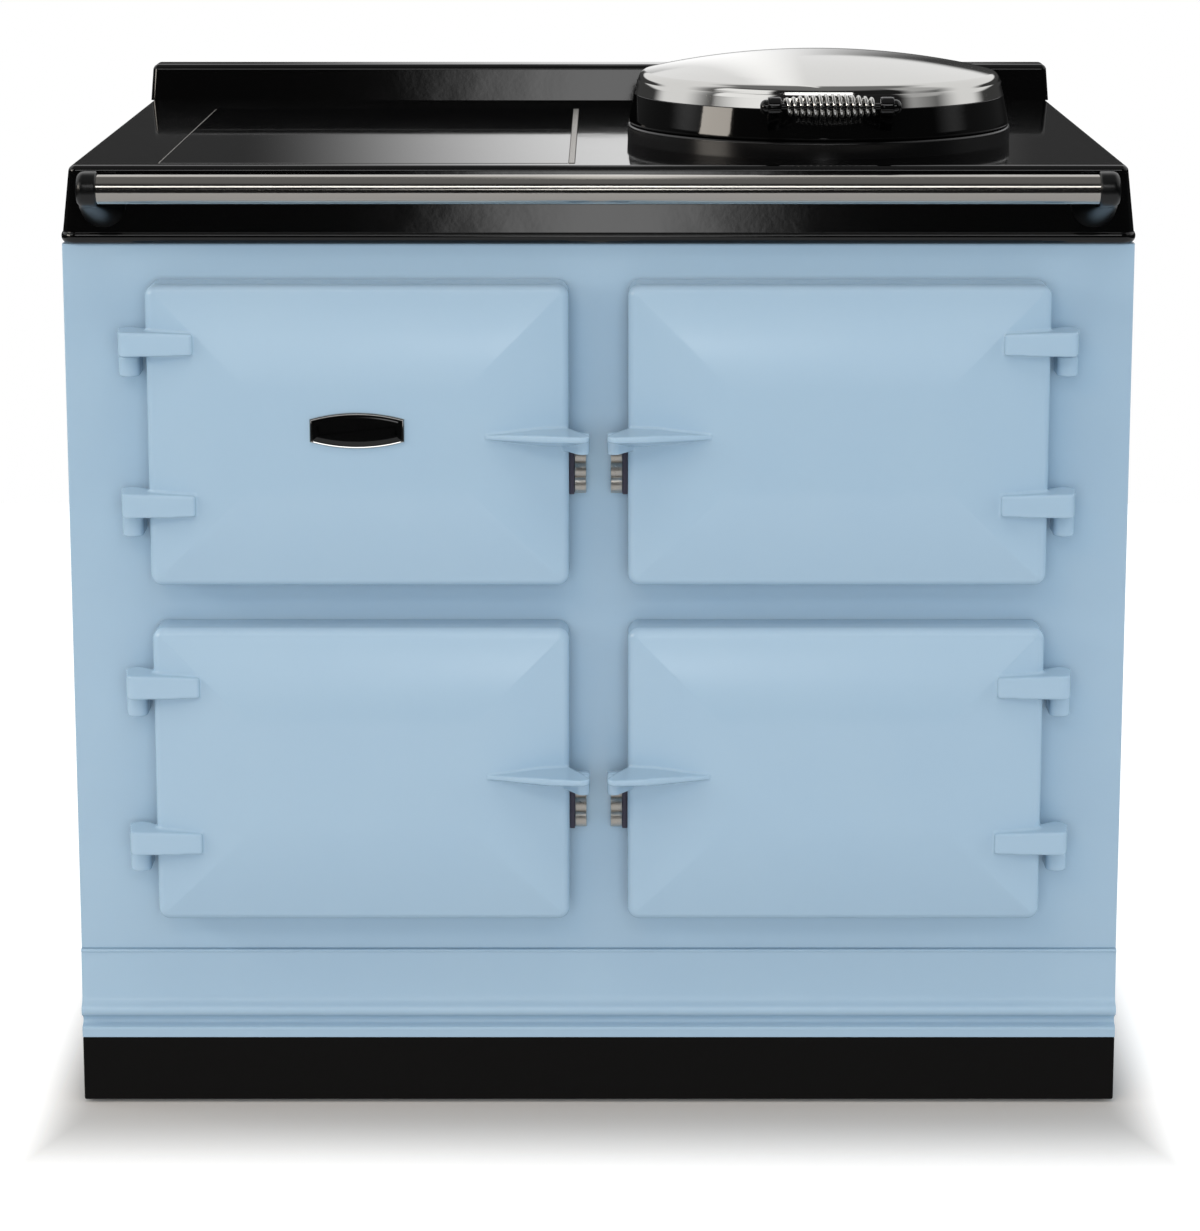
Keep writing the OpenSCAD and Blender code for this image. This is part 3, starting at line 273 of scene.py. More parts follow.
def evaluated(bm, kind, **settings):
    """Runs one modifier over a bmesh."""
    mesh = as_mesh(bm.copy())
    work = placed("work", mesh)
    modifier = work.modifiers.new(kind.lower(), kind)
    for name, value in settings.items():
        setattr(modifier, name, value)
    shown = work.evaluated_get(bpy.context.evaluated_depsgraph_get())
    result = bpy.data.meshes.new_from_object(shown)
    bm.clear()
    bm.from_mesh(result)
    bpy.data.objects.remove(work)
    bpy.data.meshes.remove(mesh)
    bpy.data.meshes.remove(result)


def cast(bm, grain, passes):
    """Fuses closed shapes into one skin and softens its corners as a sand casting's are."""
    bmesh.ops.recalc_face_normals(bm, faces=bm.faces)
    evaluated(bm, "REMESH", mode="VOXEL", voxel_size=grain)
    for _ in range(passes):
        bmesh.ops.smooth_vert(bm, verts=bm.verts, factor=0.5, use_axis_x=True, use_axis_y=True,
                              use_axis_z=True)


def cut(bm, *cutters):
    """Takes closed shapes away from another, one after the other."""
    for cutter in cutters:
        bmesh.ops.recalc_face_normals(cutter, faces=cutter.faces)
        mesh = as_mesh(cutter)
        tool = placed("cutter", mesh)
        bmesh.ops.recalc_face_normals(bm, faces=bm.faces)
        evaluated(bm, "BOOLEAN", operation="DIFFERENCE", solver="EXACT", object=tool)
        bpy.data.objects.remove(tool)
        bpy.data.meshes.remove(mesh)


def piece(bm, name, slot, node=None, body="root", sharp=32, finish=None):
    """Brings a shape into the frame as an object that stands for a node, rides on a body and has
    its slot's finish or another. Edges sharper than an angle in degrees stay sharp."""
    bmesh.ops.scale(bm, vec=(MM, MM, MM), verts=bm.verts)
    bmesh.ops.translate(bm, vec=(0, FACE, 0), verts=bm.verts)
    bmesh.ops.recalc_face_normals(bm, faces=bm.faces)
    mesh = as_mesh(bm, name)
    made = placed(name, mesh)
    mesh.materials.append(FINISHES[finish or slot])
    mesh.shade_smooth()
    mesh.set_sharp_from_angle(angle=math.radians(sharp))
    made.modifiers.new("even_normals", "WEIGHTED_NORMAL").keep_sharp = True
    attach(made, body)
    if node:
        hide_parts(node)
    return made


# ---------------- materials

FINISHES = {}


def colour(code):
    """An sRGB hex colour as linear RGBA."""
    parts = [int(code[i:i + 2], 16) / 255 for i in (0, 2, 4)]
    return [p / 12.92 if p <= 0.04045 else ((p + 0.055) / 1.055) ** 2.4 for p in parts] + [1]


def feed(node, inputs):
    """Sets a node's sockets to values or hex colours, or links them to another node's socket. A
    node given for a socket stands for its own first output."""
    for name, value in inputs.items():
        if isinstance(value, bpy.types.Node):
            value = value.outputs[0]
        if isinstance(value, bpy.types.NodeSocket):
            node.id_data.links.new(value, node.inputs[name])
        else:
            node.inputs[name].default_value = colour(value) if isinstance(value, str) else value


def add(tree, kind, inputs, **settings):
    """Adds a node with its settings and what goes into it."""
    made = tree.nodes.new("ShaderNode" + kind)
    for name, value in settings.items():
        setattr(made, name, value)
    feed(made, inputs)
    return made


def start(name, base, roughness, **sockets):
    """A new finish: its tree, its shader and the piece's own coordinates."""
    material = bpy.data.materials.new(name)
    material.use_nodes = True
    tree = material.node_tree
    shader = tree.nodes["Principled BSDF"]
    feed(shader, {"Base Color": base, "Roughness": roughness})
    feed(shader, {socket.replace("_", " "): value for socket, value in sockets.items()})
    FINISHES[name] = material
    return tree, shader, add(tree, "TexCoord", {}).outputs["Object"]


def vitreous_enamel(name, base, shade, roughness):
    """Glass fired on cast iron: a deep gloss over faint waves of the coat and of the iron."""
    tree, shader, place = start(name, base, roughness, IOR=1.52)
    pool = add(tree, "TexNoise", {"Vector": place, "Scale": 1 / (90 * MM), "Detail": 3})
    tint = add(tree, "Mix", {0: pool, 6: base, 7: shade}, data_type="RGBA")
    peel = add(tree, "TexNoise", {"Vector": place, "Scale": 1 / (6 * MM), "Detail": 2})
    waves = add(tree, "TexNoise", {"Vector": place, "Scale": 1 / (50 * MM), "Detail": 1})
    fine = add(tree, "Bump", {"Height": peel, "Strength": 0.04, "Distance": 0.3 * MM})
    bump = add(tree, "Bump", {"Height": waves, "Strength": 0.1, "Distance": 1 * MM, "Normal": fine})
    feed(shader, {"Base Color": tint.outputs[2], "Normal": bump})


def polished_metal(name, base, roughness, grain, strength, stretch=(1, 1, 1)):
    """Buffed metal: fine polishing lines along the work, that only blur what it mirrors."""
    tree, shader, place = start(name, base, roughness, Metallic=1.0)
    lay = add(tree, "Mapping", {"Vector": place, "Scale": stretch})
    lines = add(tree, "TexNoise", {"Vector": lay, "Scale": 1 / (grain * MM), "Detail": 4})
    wipe = add(tree, "MapRange", {"Value": lines, "From Min": 0.3, "From Max": 0.7,
                                  "To Min": roughness * 0.75, "To Max": roughness * 1.3})
    bump = add(tree, "Bump", {"Height": lines, "Strength": strength, "Distance": 0.02 * MM})
    feed(shader, {"Roughness": wipe, "Normal": bump})


def glass_ceramic():
    """Black glass-ceramic, polished flat: a clean mirror over a black body."""
    tree, shader, place = start("hob_ceramic", "040405", 0.03, IOR=1.54)
    haze = add(tree, "TexNoise", {"Vector": place, "Scale": 1 / (25 * MM), "Detail": 6})
    wipe = add(tree, "MapRange", {"Value": haze, "To Min": 0.02, "To Max": 0.05})
    feed(shader, {"Roughness": wipe})


def machined_iron():
    """Cast iron faced on a lathe: fine grooves round the plate's centre, greyed by heat."""
    tree, shader, place = start("machined_iron", "4a4a4c", 0.38, Metallic=0.9)
    centre = middle("hotplate") * MM + Vector((0, FACE, 0))
    about = add(tree, "Mapping", {"Vector": place, "Location": (-centre.x, -centre.y, 0)})
    grooves = add(tree, "TexWave", {"Vector": about, "Scale": 1 / (12 * MM), "Distortion": 0.2},
                  wave_type="RINGS", rings_direction="Z")
    bump = add(tree, "Bump", {"Height": grooves.outputs["Fac"], "Strength": 0.35,
                              "Distance": 0.05 * MM})
    stain = add(tree, "TexNoise", {"Vector": place, "Scale": 1 / (60 * MM), "Detail": 5})
    tint = add(tree, "Mix", {0: stain, 6: "434345", 7: "555352"}, data_type="RGBA")
    feed(shader, {"Base Color": tint.outputs[2], "Normal": bump})


def coated_sheet(name, base, shade, roughness, crystal):
    """Zinc- or aluminium-coated sheet: each crystal of the coat is its own slight grey."""
    tree, shader, place = start(name, base, roughness, Metallic=0.9)
    cells = add(tree, "TexVoronoi", {"Vector": place, "Scale": 1 / (crystal * MM)}).outputs["Color"]
    tint = add(tree, "Mix", {0: cells, 6: base, 7: shade}, data_type="RGBA")
    wipe = add(tree, "MapRange", {"Value": cells, "To Min": roughness * 0.85,
                                  "To Max": roughness * 1.2})
    feed(shader, {"Base Color": tint.outputs[2], "Roughness": wipe})


def mineral_wool():
    """Pressed mineral wool: matted yellow-brown fibres a few millimetres long."""
    tree, shader, place = start("mineral_wool", "b9a36a", 0.95)
    lay = add(tree, "Mapping", {"Vector": place, "Scale": (1, 1, 4)})
    fibres = add(tree, "TexNoise", {"Vector": lay, "Scale": 1 / (4 * MM), "Detail": 8,
                                    "Distortion": 1.5})
    tint = add(tree, "Mix", {0: fibres, 6: "8f7a45", 7: "d6c48e"}, data_type="RGBA")
    bump = add(tree, "Bump", {"Height": fibres, "Strength": 0.8, "Distance": 1.5 * MM})
    feed(shader, {"Base Color": tint.outputs[2], "Normal": bump})


def copper_winding():
    """Lacquered copper litz wound in a flat spiral: warm metal with close ridges."""
    tree, shader, place = start("copper_winding", "b87346", 0.35, Metallic=1.0)
    strands = add(tree, "TexWave", {"Vector": place, "Scale": 1 / (20 * MM)}, wave_type="RINGS")
    bump = add(tree, "Bump", {"Height": strands.outputs["Fac"], "Strength": 0.6,
                              "Distance": 1 * MM})
    feed(shader, {"Normal": bump})


def woven_rope():
    """Woven glass-fibre rope: grey yarns that cross in a braid about 3 mm apart."""
    tree, shader, place = start("woven_rope", "6f6d66", 0.9, Sheen_Weight=0.3)
    lays = [add(tree, "Mapping", {"Vector": place, "Rotation": (0, math.radians(slant), 0)})
            for slant in (45, -45)]
    yarns = [add(tree, "TexWave", {"Vector": lay, "Scale": 1 / (19 * MM)}).outputs["Fac"]
             for lay in lays]
    weave = add(tree, "Math", {0: yarns[0], 1: yarns[1]}, operation="MAXIMUM")
    tint = add(tree, "Mix", {0: weave, 6: "4b4943", 7: "8b887f"}, data_type="RGBA")
    bump = add(tree, "Bump", {"Height": weave, "Strength": 0.9, "Distance": 0.8 * MM})
    feed(shader, {"Base Color": tint.outputs[2], "Normal": bump})


def oven_enamel():
    """Dark ground enamel, fired with a scatter of pale specks about a millimetre across."""
    tree, shader, place = start("oven_enamel", "26272a", 0.28, IOR=1.5)
    specks = add(tree, "TexVoronoi", {"Vector": place, "Scale": 1 / (4 * MM)}, feature="F1")
    spots = add(tree, "MapRange", {"Value": specks, "From Min": 0.16, "From Max": 0.2,
                                   "To Min": 1.0, "To Max": 0.0})
    tint = add(tree, "Mix", {0: spots, 6: "26272a", 7: "8d8f92"}, data_type="RGBA")
    feed(shader, {"Base Color": tint.outputs[2]})


def moulded(name, base, roughness, grain, strength, **sockets):
    """Moulded rubber or phenolic, or a matt paint: an even colour under a fine texture."""
    tree, shader, place = start(name, base, roughness, **sockets)
    skin = add(tree, "TexNoise", {"Vector": place, "Scale": 1 / (grain * MM), "Detail": 3})
    bump = add(tree, "Bump", {"Height": skin, "Strength": strength, "Distance": 0.1 * MM})
    wipe = add(tree, "MapRange", {"Value": skin, "To Min": roughness * 0.85,
                                  "To Max": roughness * 1.15})
    feed(shader, {"Roughness": wipe, "Normal": bump})


# Patterns are sized in millimetres.
vitreous_enamel("blue_enamel", "aac4d6", "a6c1d5", 0.16)
vitreous_enamel("black_enamel", "040404", "060606", 0.06)
vitreous_enamel("black_casting", "040404", "070707", 0.28)
vitreous_enamel("badge_enamel", "050505", "080808", 0.08)
vitreous_enamel("grey_surround", "0b0b0b", "101010", 0.22)
polished_metal("polished_steel", "bdb9b3", 0.12, 1.5, 0.25, (0.02, 1, 1))
polished_metal("satin_steel", "cfc9c0", 0.34, 1.5, 0.3)
polished_metal("dulled_steel", "96918a", 0.3, 1.5, 0.3)
polished_metal("chrome_plate", "d8d7d4", 0.06, 30, 0.05)
polished_metal("dark_steel", "3a3a40", 0.35, 2, 0.2, (1, 1, 0.1))
polished_metal("element_sheath", "57544f", 0.45, 4, 0.2)
glass_ceramic()
machined_iron()
coated_sheet("galvanised_steel", "a9abae", "989ba0", 0.42, 14)
coated_sheet("aluminium_sheet", "b9bbbd", "aeb0b3", 0.38, 3)
mineral_wool()
copper_winding()
woven_rope()
oven_enamel()
moulded("foot_rubber", "17171a", 0.7, 1.2, 0.4)
moulded("knob_plastic", "111113", 0.3, 1.5, 0.12)
# dark blued steel for the catch brackets, whose darkness also paints the shade in the gap beside
# each catch
moulded("blued_steel_and_gap_shade", "45414f", 0.45, 2, 0.1)
moulded("stove_black", "0c0b0a", 0.6, 2, 0.1, Specular_IOR_Level=0.12)


# ---------------- doors, drawn as a left-hand door

DOOR_W, DOOR_H = 392, 285
DOOR_BACK = -2
RIM = -42  # the rim's face
RIM_R = 8  # the rim turns over in this radius
CORNER_R = 11
CROWN = 12  # how far the panel's middle stands past the rim
PANEL = RIM - CROWN
HIP_W = 88
HIP_FALL = 1.7  # the hip's slope eases off at this power
HIP_STEPS = 14
MITRE_R = 1.5  # how far the hip's corner lines are rounded
WALL = 8
CAVITY = 37
EDGE = DOOR_W / 2


def door_shell():
    """The casting without its arms and handle: rolled rim, hipped front, hollow back."""
    bm = shape(bar, (-EDGE, RIM + RIM_R, -DOOR_H / 2), (EDGE, DOOR_BACK, DOOR_H / 2), 1, CORNER_R,
               8)
    front = face_towards(bm, (0, -1, 0))
    roll = [(RIM_R - x, y) for x, y in arc((0, 0), RIM_R, 0, 90, 9)]
    steps_in(bm, front, between(roll))
    tight = (CORNER_R - RIM_R) / HIP_W  # here the corners have shrunk to points
    marks = [0] + [tight + (1 - tight) * i / HIP_STEPS for i in range(HIP_STEPS + 1)]
    hip = [(t * HIP_W, CROWN * (1 - (1 - t) ** HIP_FALL)) for t in marks]
    steps_in(bm, front, between(hip[:2]))
    pinch(bm, front, EDGE - CORNER_R, front.verts[0].co.y, DOOR_H / 2 - CORNER_R)
    steps_in(bm, face_towards(bm, (0, -1, 0)), between(hip[1:]))
    mitres = [e for e in bm.edges if max(v.co.y for v in e.verts) < RIM - 0.1
              and abs(e.verts[0].co.y - e.verts[1].co.y) > 0.01]
    round_edges(bm, mitres, MITRE_R, 2)
    return bm


def wedge(solid, x_range, z, half, lean):
    """The part of the door's skin that an arm or the handle grows out of."""
    part = solid.copy()
    for point, normal in (((x_range[0], 0, 0), (-1, 0, 0)), ((x_range[1], 0, 0), (1, 0, 0)),
                          ((0, 0, z - half), (0, 0, -1)), ((0, 0, z + half), (0, 0, 1)), lean):
        sliced(part, point, normal)
    return part


SINK = 0.15  # a wedge's skin lies this far under the door's own
GRAIN = 1  # castings are fused at this fineness


def grown(bm, passes):
    """Casts an arm or handle with its wedge, then sinks its skin a hair into the door's."""
    cast(bm, GRAIN, passes)
    bm.normal_update()
    for v in bm.verts:
        v.co -= v.normal * SINK
    return bm


PIN = Vector((-EDGE - 17, -25, 0))  # the hinge's axis
PIN_R = 4.5
BOSS_R = 10.5  # the boss round the pin
ARM_H = 23
ARM_FRONT = -56
ARM_PLACES = (-63.5, 88.5)  # from the door's middle up


def hinge_arm(solid, z):
    """A flat-fronted arm from the panel to the rounded boss over the pin."""
    bm = wedge(solid, (-EDGE - WALL, -EDGE + 76), z, 28,
               ((-EDGE + 16, -12, 0), Vector((24, 52, 0)).normalized()))
    arm = bmesh.new()
    low, high = Vector((0, 0, z - ARM_H / 2)), Vector((0, 0, z + ARM_H / 2))
    nose = Vector((PIN.x + 1.5, ARM_FRONT + 9, 0))
    tip = Vector((-EDGE + 42, ARM_FRONT + 3, 0))
    thinner = Vector((0, 0, 1.5))
    hull(arm, drum(arm, PIN + low, PIN + high, BOSS_R, segments=40),
         drum(arm, nose + low, nose + high, 9, segments=40),
         drum(arm, tip + low + thinner, tip + high - thinner, 3, segments=24))
    return grown(join(bm, arm), 14)


FIN_TOP = 8.5  # the fin's root, from the door's middle up
FIN_END = EDGE + 19
FIN_R = 8.5
BOSS_FOOT = -13


def handle(solid):
    """The fin that opens the door, and the boss at its end that closes over the catch."""
    bm = wedge(solid, (98, EDGE + WALL), -2, 38,
               ((EDGE - 16, -12, 0), Vector((-24, 52, 0)).normalized()))
    fin = bmesh.new()
    nose, bow = FIN_END - 8, FIN_END - 34
    hull(fin, block(fin, (FIN_END - 96, PANEL - 1, FIN_TOP - 8.5),
                    (FIN_END - 93, RIM, FIN_TOP - 4.5)),
         block(fin, (FIN_END - 47, PANEL, FIN_TOP - 15), (EDGE, RIM + 3, FIN_TOP)),
         drum(fin, (nose, -79.5, FIN_TOP - 6), (nose, -79.5, FIN_TOP - 0.5), FIN_R),
         drum(fin, (bow, -77, FIN_TOP - 6), (bow, -77, FIN_TOP), FIN_R))
    boss = bmesh.new()
    hull(boss, block(boss, (EDGE - 6, RIM, BOSS_FOOT), (FIN_END + 0.5, -14, FIN_TOP - 11)),
         drum(boss, (FIN_END - 6, PANEL - 5, BOSS_FOOT), (FIN_END - 6, PANEL - 5, FIN_TOP - 2),
              6.5))
    return grown(join(bm, fin, boss), 6)


def door_casting():
    """A whole left-hand door about the middle of its doorway."""
    solid = door_shell()
    bm = solid.copy()
    steps_in(bm, face_towards(bm, (0, 1, 0)), [(WALL, 0), (0, -CAVITY)])
    join(bm, *[hinge_arm(solid, z) for z in ARM_PLACES], handle(solid))
    solid.free()
    return bm


def at_door(door):
    """The matrix that puts a left-hand door's shape in a doorway."""
    at = middle("liner_" + door)
    hand = -1 if door.endswith("right") else 1
    return Matrix.Translation((at.x, 0, at.z)) @ Matrix.Diagonal((hand, 1, 1, 1))


PLUG_R = 8  # the liner's plug has corners of this radius


def door_liner(low, high, mouth):
    """The pressed sheet that closes a door's back: a flange, and a plug with a low rim."""
    flange = shape(bar, low, (high.x, low.y + 4, high.z), 1, 4, 3)
    plug = shape(bar, (-mouth.x, low.y + 3, -mouth.z), (mouth.x, high.y, mouth.z), 1, PLUG_R, 5)
    flat = face_towards(plug, (0, 1, 0))
    steps_in(plug, flat, [(1, 0), (1, -0.3), (PLUG_R - 2.1, 0)])
    pinch(plug, flat, mouth.x - PLUG_R, high.y - 0.3, mouth.z - PLUG_R)
    # The face furthest back is now one of the plug's narrow rim, so this dish comes out as a small
    # fold at one corner, and the middle stays flat.
    steps_in(plug, face_towards(plug, (0, 1, 0)), [(12, 0), (2.5, -2), (2, -0.8), (2, -0.2)])
    return join(flange, plug)


def rope_seal(low, high):
    """Rope laid in a frame round the oven's mouth."""
    bm = shape(bar, low, high, 1, 10, 6)
    cut(bm, shape(bar, low + Vector((6, -5, 6)), high + Vector((-6, 5, -6)), 1, 4, 6))
    for y in (low.y, high.y):
        round_edges(bm, edges_at(bm, 1, y), 2.2, 4)
    return bm


pattern = door_casting()
for door in DOORS:
    body = "door_" + door
    casting = stamped(pattern.copy(), [at_door(door)])
    piece(casting, body + "_casting", "blue_enamel", body, body, 40)
    centre = middle("liner_" + door)
    centre.y = 0
    place = [Matrix.Translation(centre)]
    flange = [corner - centre for corner in corners("liner_" + door)]
    rope = [corner - centre for corner in corners("seal_" + door)]
    plug = rope[1] - Vector((21, 0, 21))
    piece(stamped(door_liner(*flange, plug), place), body + "_liner", "aluminium_sheet",
          "liner_" + door, body)
    piece(stamped(rope_seal(*rope), place), body + "_rope", "woven_rope", "seal_" + door, body, 60)
pattern.free()

BADGE_LOW, BADGE_HIGH = corners("badge_plate")


def barrel(inwards, bulge=160, steps=24):
    """The badge's outline: straight ends between two bowed sides."""
    centre = (BADGE_LOW + BADGE_HIGH) / 2
    half_w = (BADGE_HIGH.x - BADGE_LOW.x) / 2 - inwards
    half_h = (BADGE_HIGH.z - BADGE_LOW.z) / 2 - inwards
    sweep = math.degrees(math.asin(half_w / bulge))
    top = arc((0, half_h - bulge), bulge, 90 - sweep, 90 + sweep, steps)
    foot = arc((0, bulge - half_h), bulge, 270 - sweep, 270 + sweep, steps)
    return [(centre.x + x, BADGE_HIGH.y, centre.z + z) for x, z in top + foot]


bm = shape(extruded, barrel(0), (0, -1.6, 0))
steps_in(bm, face_towards(bm, (0, -1, 0)),
         [(0.3, 0.5), (0.4, 0.4), (0.5, 0.1), (0.5, -0.2), (0.3, -0.5)])
piece(bm, "badge_rim", "chrome_plate", "badge_plate", "door_top_left")
bm = shape(extruded, barrel(1.9), (0, -1.7, 0))
steps_in(bm, face_towards(bm, (0, -1, 0)), [(0.8, 0.3), (1.4, 0.3), (2, 0.2), (2.5, 0.1)])
piece(bm, "badge_face", "badge_enamel", body="door_top_left", sharp=60)


# ---------------- hinges and catches

LUG_TOP = -ARM_H / 2 - 3  # from an arm's middle down to the lug's top
LUG_H = 19
pin_x = middle("liner_top_right").x - PIN.x
lug_tops = [Matrix.Translation((side * pin_x, PIN.y, middle("liner_" + door).z + z + LUG_TOP))
            for door in ("top_left", "bottom_left") for z in ARM_PLACES for side in SIDES]

lug = bmesh.new()
hull(lug, drum(lug, (0, 0, -LUG_H + 0.5), (0, 0, 0), BOSS_R - 0.7),
     block(lug, (-BOSS_R + 0.7, 0, -LUG_H), (BOSS_R - 0.7, -PIN.y + 2, 0.5)))
cast(lug, GRAIN, 5)
sliced(lug, (0, -PIN.y, 0), (0, 1, 0))
piece(stamped(lug, lug_tops), "hinge_lug_castings", "blue_enamel", "hinge_lugs", sharp=60)

pin = shape(turned, [(0, -15), (PIN_R, -15), (PIN_R, 19)]
            + arc((PIN_R - 1.5, 19), 1.5, 0, 90, 4)[1:] + [(0, 20.5)], segments=32)
piece(stamped(pin, lug_tops), "hinge_pin_rods", "polished_steel", "hinge_pins")

bore = PIN_R + 0.4
washer = shape(turned, [(bore, 0), (8, 0), (8.5, 0.5), (8.5, 2.4), (8, 2.9), (bore, 2.9)],
               closed=True, segments=40)
piece(stamped(washer, lug_tops), "hinge_washer_rings", "dark_steel", "hinge_washers")

CATCH_LOW, CATCH_HIGH = corners("door_catches")
CATCH_H = 47
CATCH_IN, CATCH_W = 11.5, 11  # a strip's distance from the cooker's middle, and its width
BUMP_R = 9.5
BUMP_PITCH = (CATCH_H - 2 * BUMP_R) / 2


def catch_outline():
    """The strip's edge from its top down: three round bumps over a flat back."""
    meet = math.degrees(math.asin(BUMP_PITCH / 2 / BUMP_R))  # where one bump runs into the next
    points = [(0, CATCH_H)]
    for i in range(3):
        start = 90 if i == 0 else 180 - meet
        end = 270 if i == 2 else 180 + meet
        points += arc((-5, CATCH_H - BUMP_R - i * BUMP_PITCH), BUMP_R, start, end, 12)
    return points + [(0, 0)]


strip = shape(extruded, [(0, y, z) for y, z in catch_outline()], (CATCH_W, 0, 0))
bmesh.ops.remove_doubles(strip, verts=strip.verts, dist=0.01)
for x in (0, CATCH_W):
    round_edges(strip, edges_at(strip, 0, x), 0.8, 2)
catch_feet = (CATCH_LOW.z, CATCH_HIGH.z - CATCH_H)
catch_places = [Matrix.Translation((side * CATCH_IN, 0, z)) @ Matrix.Diagonal((side, 1, 1, 1))
                for side in SIDES for z in catch_feet]
piece(stamped(strip, catch_places), "door_catch_strips", "polished_steel", "door_catches",
      finish="satin_steel")
# A dark plate beside each catch: a bracket, whose dark colour also paints the shade in the gap
# between the catch and the door's edge.
bracket = shape(soft_block, (CATCH_W, -12.5, 0), (CATCH_W + 4.9, 0, CATCH_H - 3), 0.8)
piece(stamped(bracket, catch_places), "catch_bracket_and_gap_shade_plates", "dark_steel", "catch_brackets",
      finish="blued_steel_and_gap_shade")


# ---------------- body

def doorway(door):
    """A hole the size of one oven's mouth."""
    low, high = corners("seal_" + door)
    return shape(bar, (low.x + 9, -5, low.z + 9), (high.x - 9, 15, high.z - 9), 1, 6, 5)


bm = shape(block, *corners("front_plate"))
cut(bm, *[doorway(door) for door in DOORS])
round_edges(bm, edges_at(bm, 1, 0), 1.6, 4)
piece(bm, "front_casting", "blue_enamel", "front_plate")


def skirting_profile(low, high):
    """From the foot up: a convex toe, a groove, the bead, a cove, a flat and a lip."""
    return ([(10, low), (-8.3, low)] + arc((-1, low + 8), 8, 195, 165, 6)
            + arc((-4.5, low + 15.5), 4, -55, 55, 8) + arc((-6, low + 27.5), 6, -100, -240, 14)
            + arc((-14.5, low + 42.2), 11, -60, 0, 10) + [(-2, high - 3)]
            + arc((-2, high - 1.5), 1.5, 250, 100, 6) + [(10, high)])


low, high = corners("skirting")
bm = shape(extruded, [(-500, y, z) for y, z in skirting_profile(low.z, high.z)], (1000, 0, 0))
piece(bm, "skirting_moulding", "blue_enamel", "skirting", sharp=40)

low, high = corners("plinth")
bm = shape(block, low, high)
cut(bm, shape(block, (low.x + 15, low.y + 15, low.z - 5), (high.x - 15, high.y + 5, high.z + 5)))
round_edges(bm, [e for e in bm.edges if e.calc_face_angle() > 1], 2, 3)
piece(bm, "plinth_board", "black_enamel", "plinth", finish="stove_black")

low, high = corners("side_panels")
bm = bmesh.new()
for side in SIDES:
    soft_block(bm, (side * high.x - (side > 0) * 3, low.y, low.z),
               (side * high.x + (side < 0) * 3, high.y, high.z), 0.8)
piece(bm, "side_panel_sheets", "blue_enamel", "side_panels")


# ---------------- hob plate

HOB_LOW, HOB_HIGH = corners("top_plate")
HOB_Z = HOB_HIGH.z
HOB_CORNER_R = 15.5
BEAD_R = 7  # the bolster's bead
LID_LOW, LID_HIGH = corners("lid_ring")
LID = Vector(((LID_LOW.x + LID_HIGH.x) / 2, (LID_LOW.y + LID_HIGH.y) / 2, 0))
LID_R = (LID_HIGH.x - LID_LOW.x) / 2


def hob_casting():
    """The plate with its bolster: from the bead's widest line up and in to the top, then down."""
    waist = HOB_LOW.z + BEAD_R
    bm = shape(bar, (HOB_LOW.x, HOB_LOW.y, waist - 0.01), (HOB_HIGH.x, HOB_HIGH.y + 40, waist), 2,
               HOB_CORNER_R, 10)
    top_r = 6
    up = (arc((BEAD_R, waist), BEAD_R, 180, 140, 6)
          + arc((8 + top_r, HOB_Z - top_r), top_r, 173, 90, 8))
    steps_in(bm, face_towards(bm, (0, 0, 1)), between([(0, waist)] + up[1:]))
    down = [(x, 2 * waist - z) for x, z in arc((BEAD_R, waist), BEAD_R, 180, 90, 6)]
    steps_in(bm, face_towards(bm, (0, 0, -1)), [(a, -b) for a, b in between(down)])
    sliced(bm, (0, HOB_HIGH.y, 0), (0, 1, 0))
    return bm


bm = hob_casting()
glass_low, glass_high = corners("hob_glass")
strip_low, strip_high = corners("hob_strip")
plate_t, wall_t, ledge_w, well_r = 14, 19, 12, 164
above = HOB_Z + 5  # every cutter ends clear of the plate
hollow = shape(block, HOB_LOW + Vector((wall_t, wall_t, -5)),
               HOB_HIGH - Vector((wall_t, wall_t, plate_t)))
pocket = shape(block, glass_low - Vector((0.6, 0.6, 0)),
               (strip_high.x + 0.3, glass_high.y + 0.6, above))
window = shape(block, glass_low + Vector((ledge_w, ledge_w, -30)),
               (glass_high.x - ledge_w, glass_high.y - ledge_w, above))
well = shape(drum, LID + Vector((0, 0, HOB_Z - 60)), LID + Vector((0, 0, above)), well_r,
             segments=96)
cut(bm, hollow, pocket, window, well)
piece(bm, "hob_plate_casting", "black_enamel", "top_plate", sharp=40)

low, high = corners("upstand")
bm = bmesh.new()
verts = block(bm, low, high)
for v in verts:
    if v.co.z > high.z - 1:
        v.co.x -= math.copysign(3, v.co.x)
        if v.co.y < low.y + 1:
            v.co.y += 4
round_edges(bm, [e for e in bm.edges if any(v.co.z > high.z - 1 for v in e.verts)], 6, 6)
piece(bm, "upstand_casting", "black_enamel", "upstand", sharp=50)

bm = shape(bar, glass_low, glass_high, 2, 2, 4)
round_edges(bm, edges_at(bm, 2, glass_high.z), 0.4, 2)
piece(bm, "hob_glass_panel", "hob_ceramic", "hob_glass")
bm = shape(soft_block, strip_low, strip_high, 0.7)
piece(bm, "hob_steel_strip", "polished_steel", "hob_strip", finish="dulled_steel")

bm = shape(soft_block, (glass_low.x - 0.9, glass_low.y, HOB_Z - 2),
           (glass_low.x + 0.5, glass_high.y, HOB_Z + 0.15), 0.1)
piece(bm, "hob_glass_edging", "polished_steel", finish="dulled_steel")


# ---------------- towel rail

RAIL_LOW, RAIL_HIGH = corners("towel_rail")
RAIL_R = (RAIL_HIGH.z - RAIL_LOW.z) / 2
RAIL_Y, RAIL_Z = (RAIL_LOW.y + RAIL_HIGH.y) / 2, (RAIL_LOW.z + RAIL_HIGH.z) / 2
SOCKET = 7  # the tube's ends go this far into their brackets
HEAD_X = RAIL_HIGH.x - SOCKET
HEAD_R = RAIL_R + 3

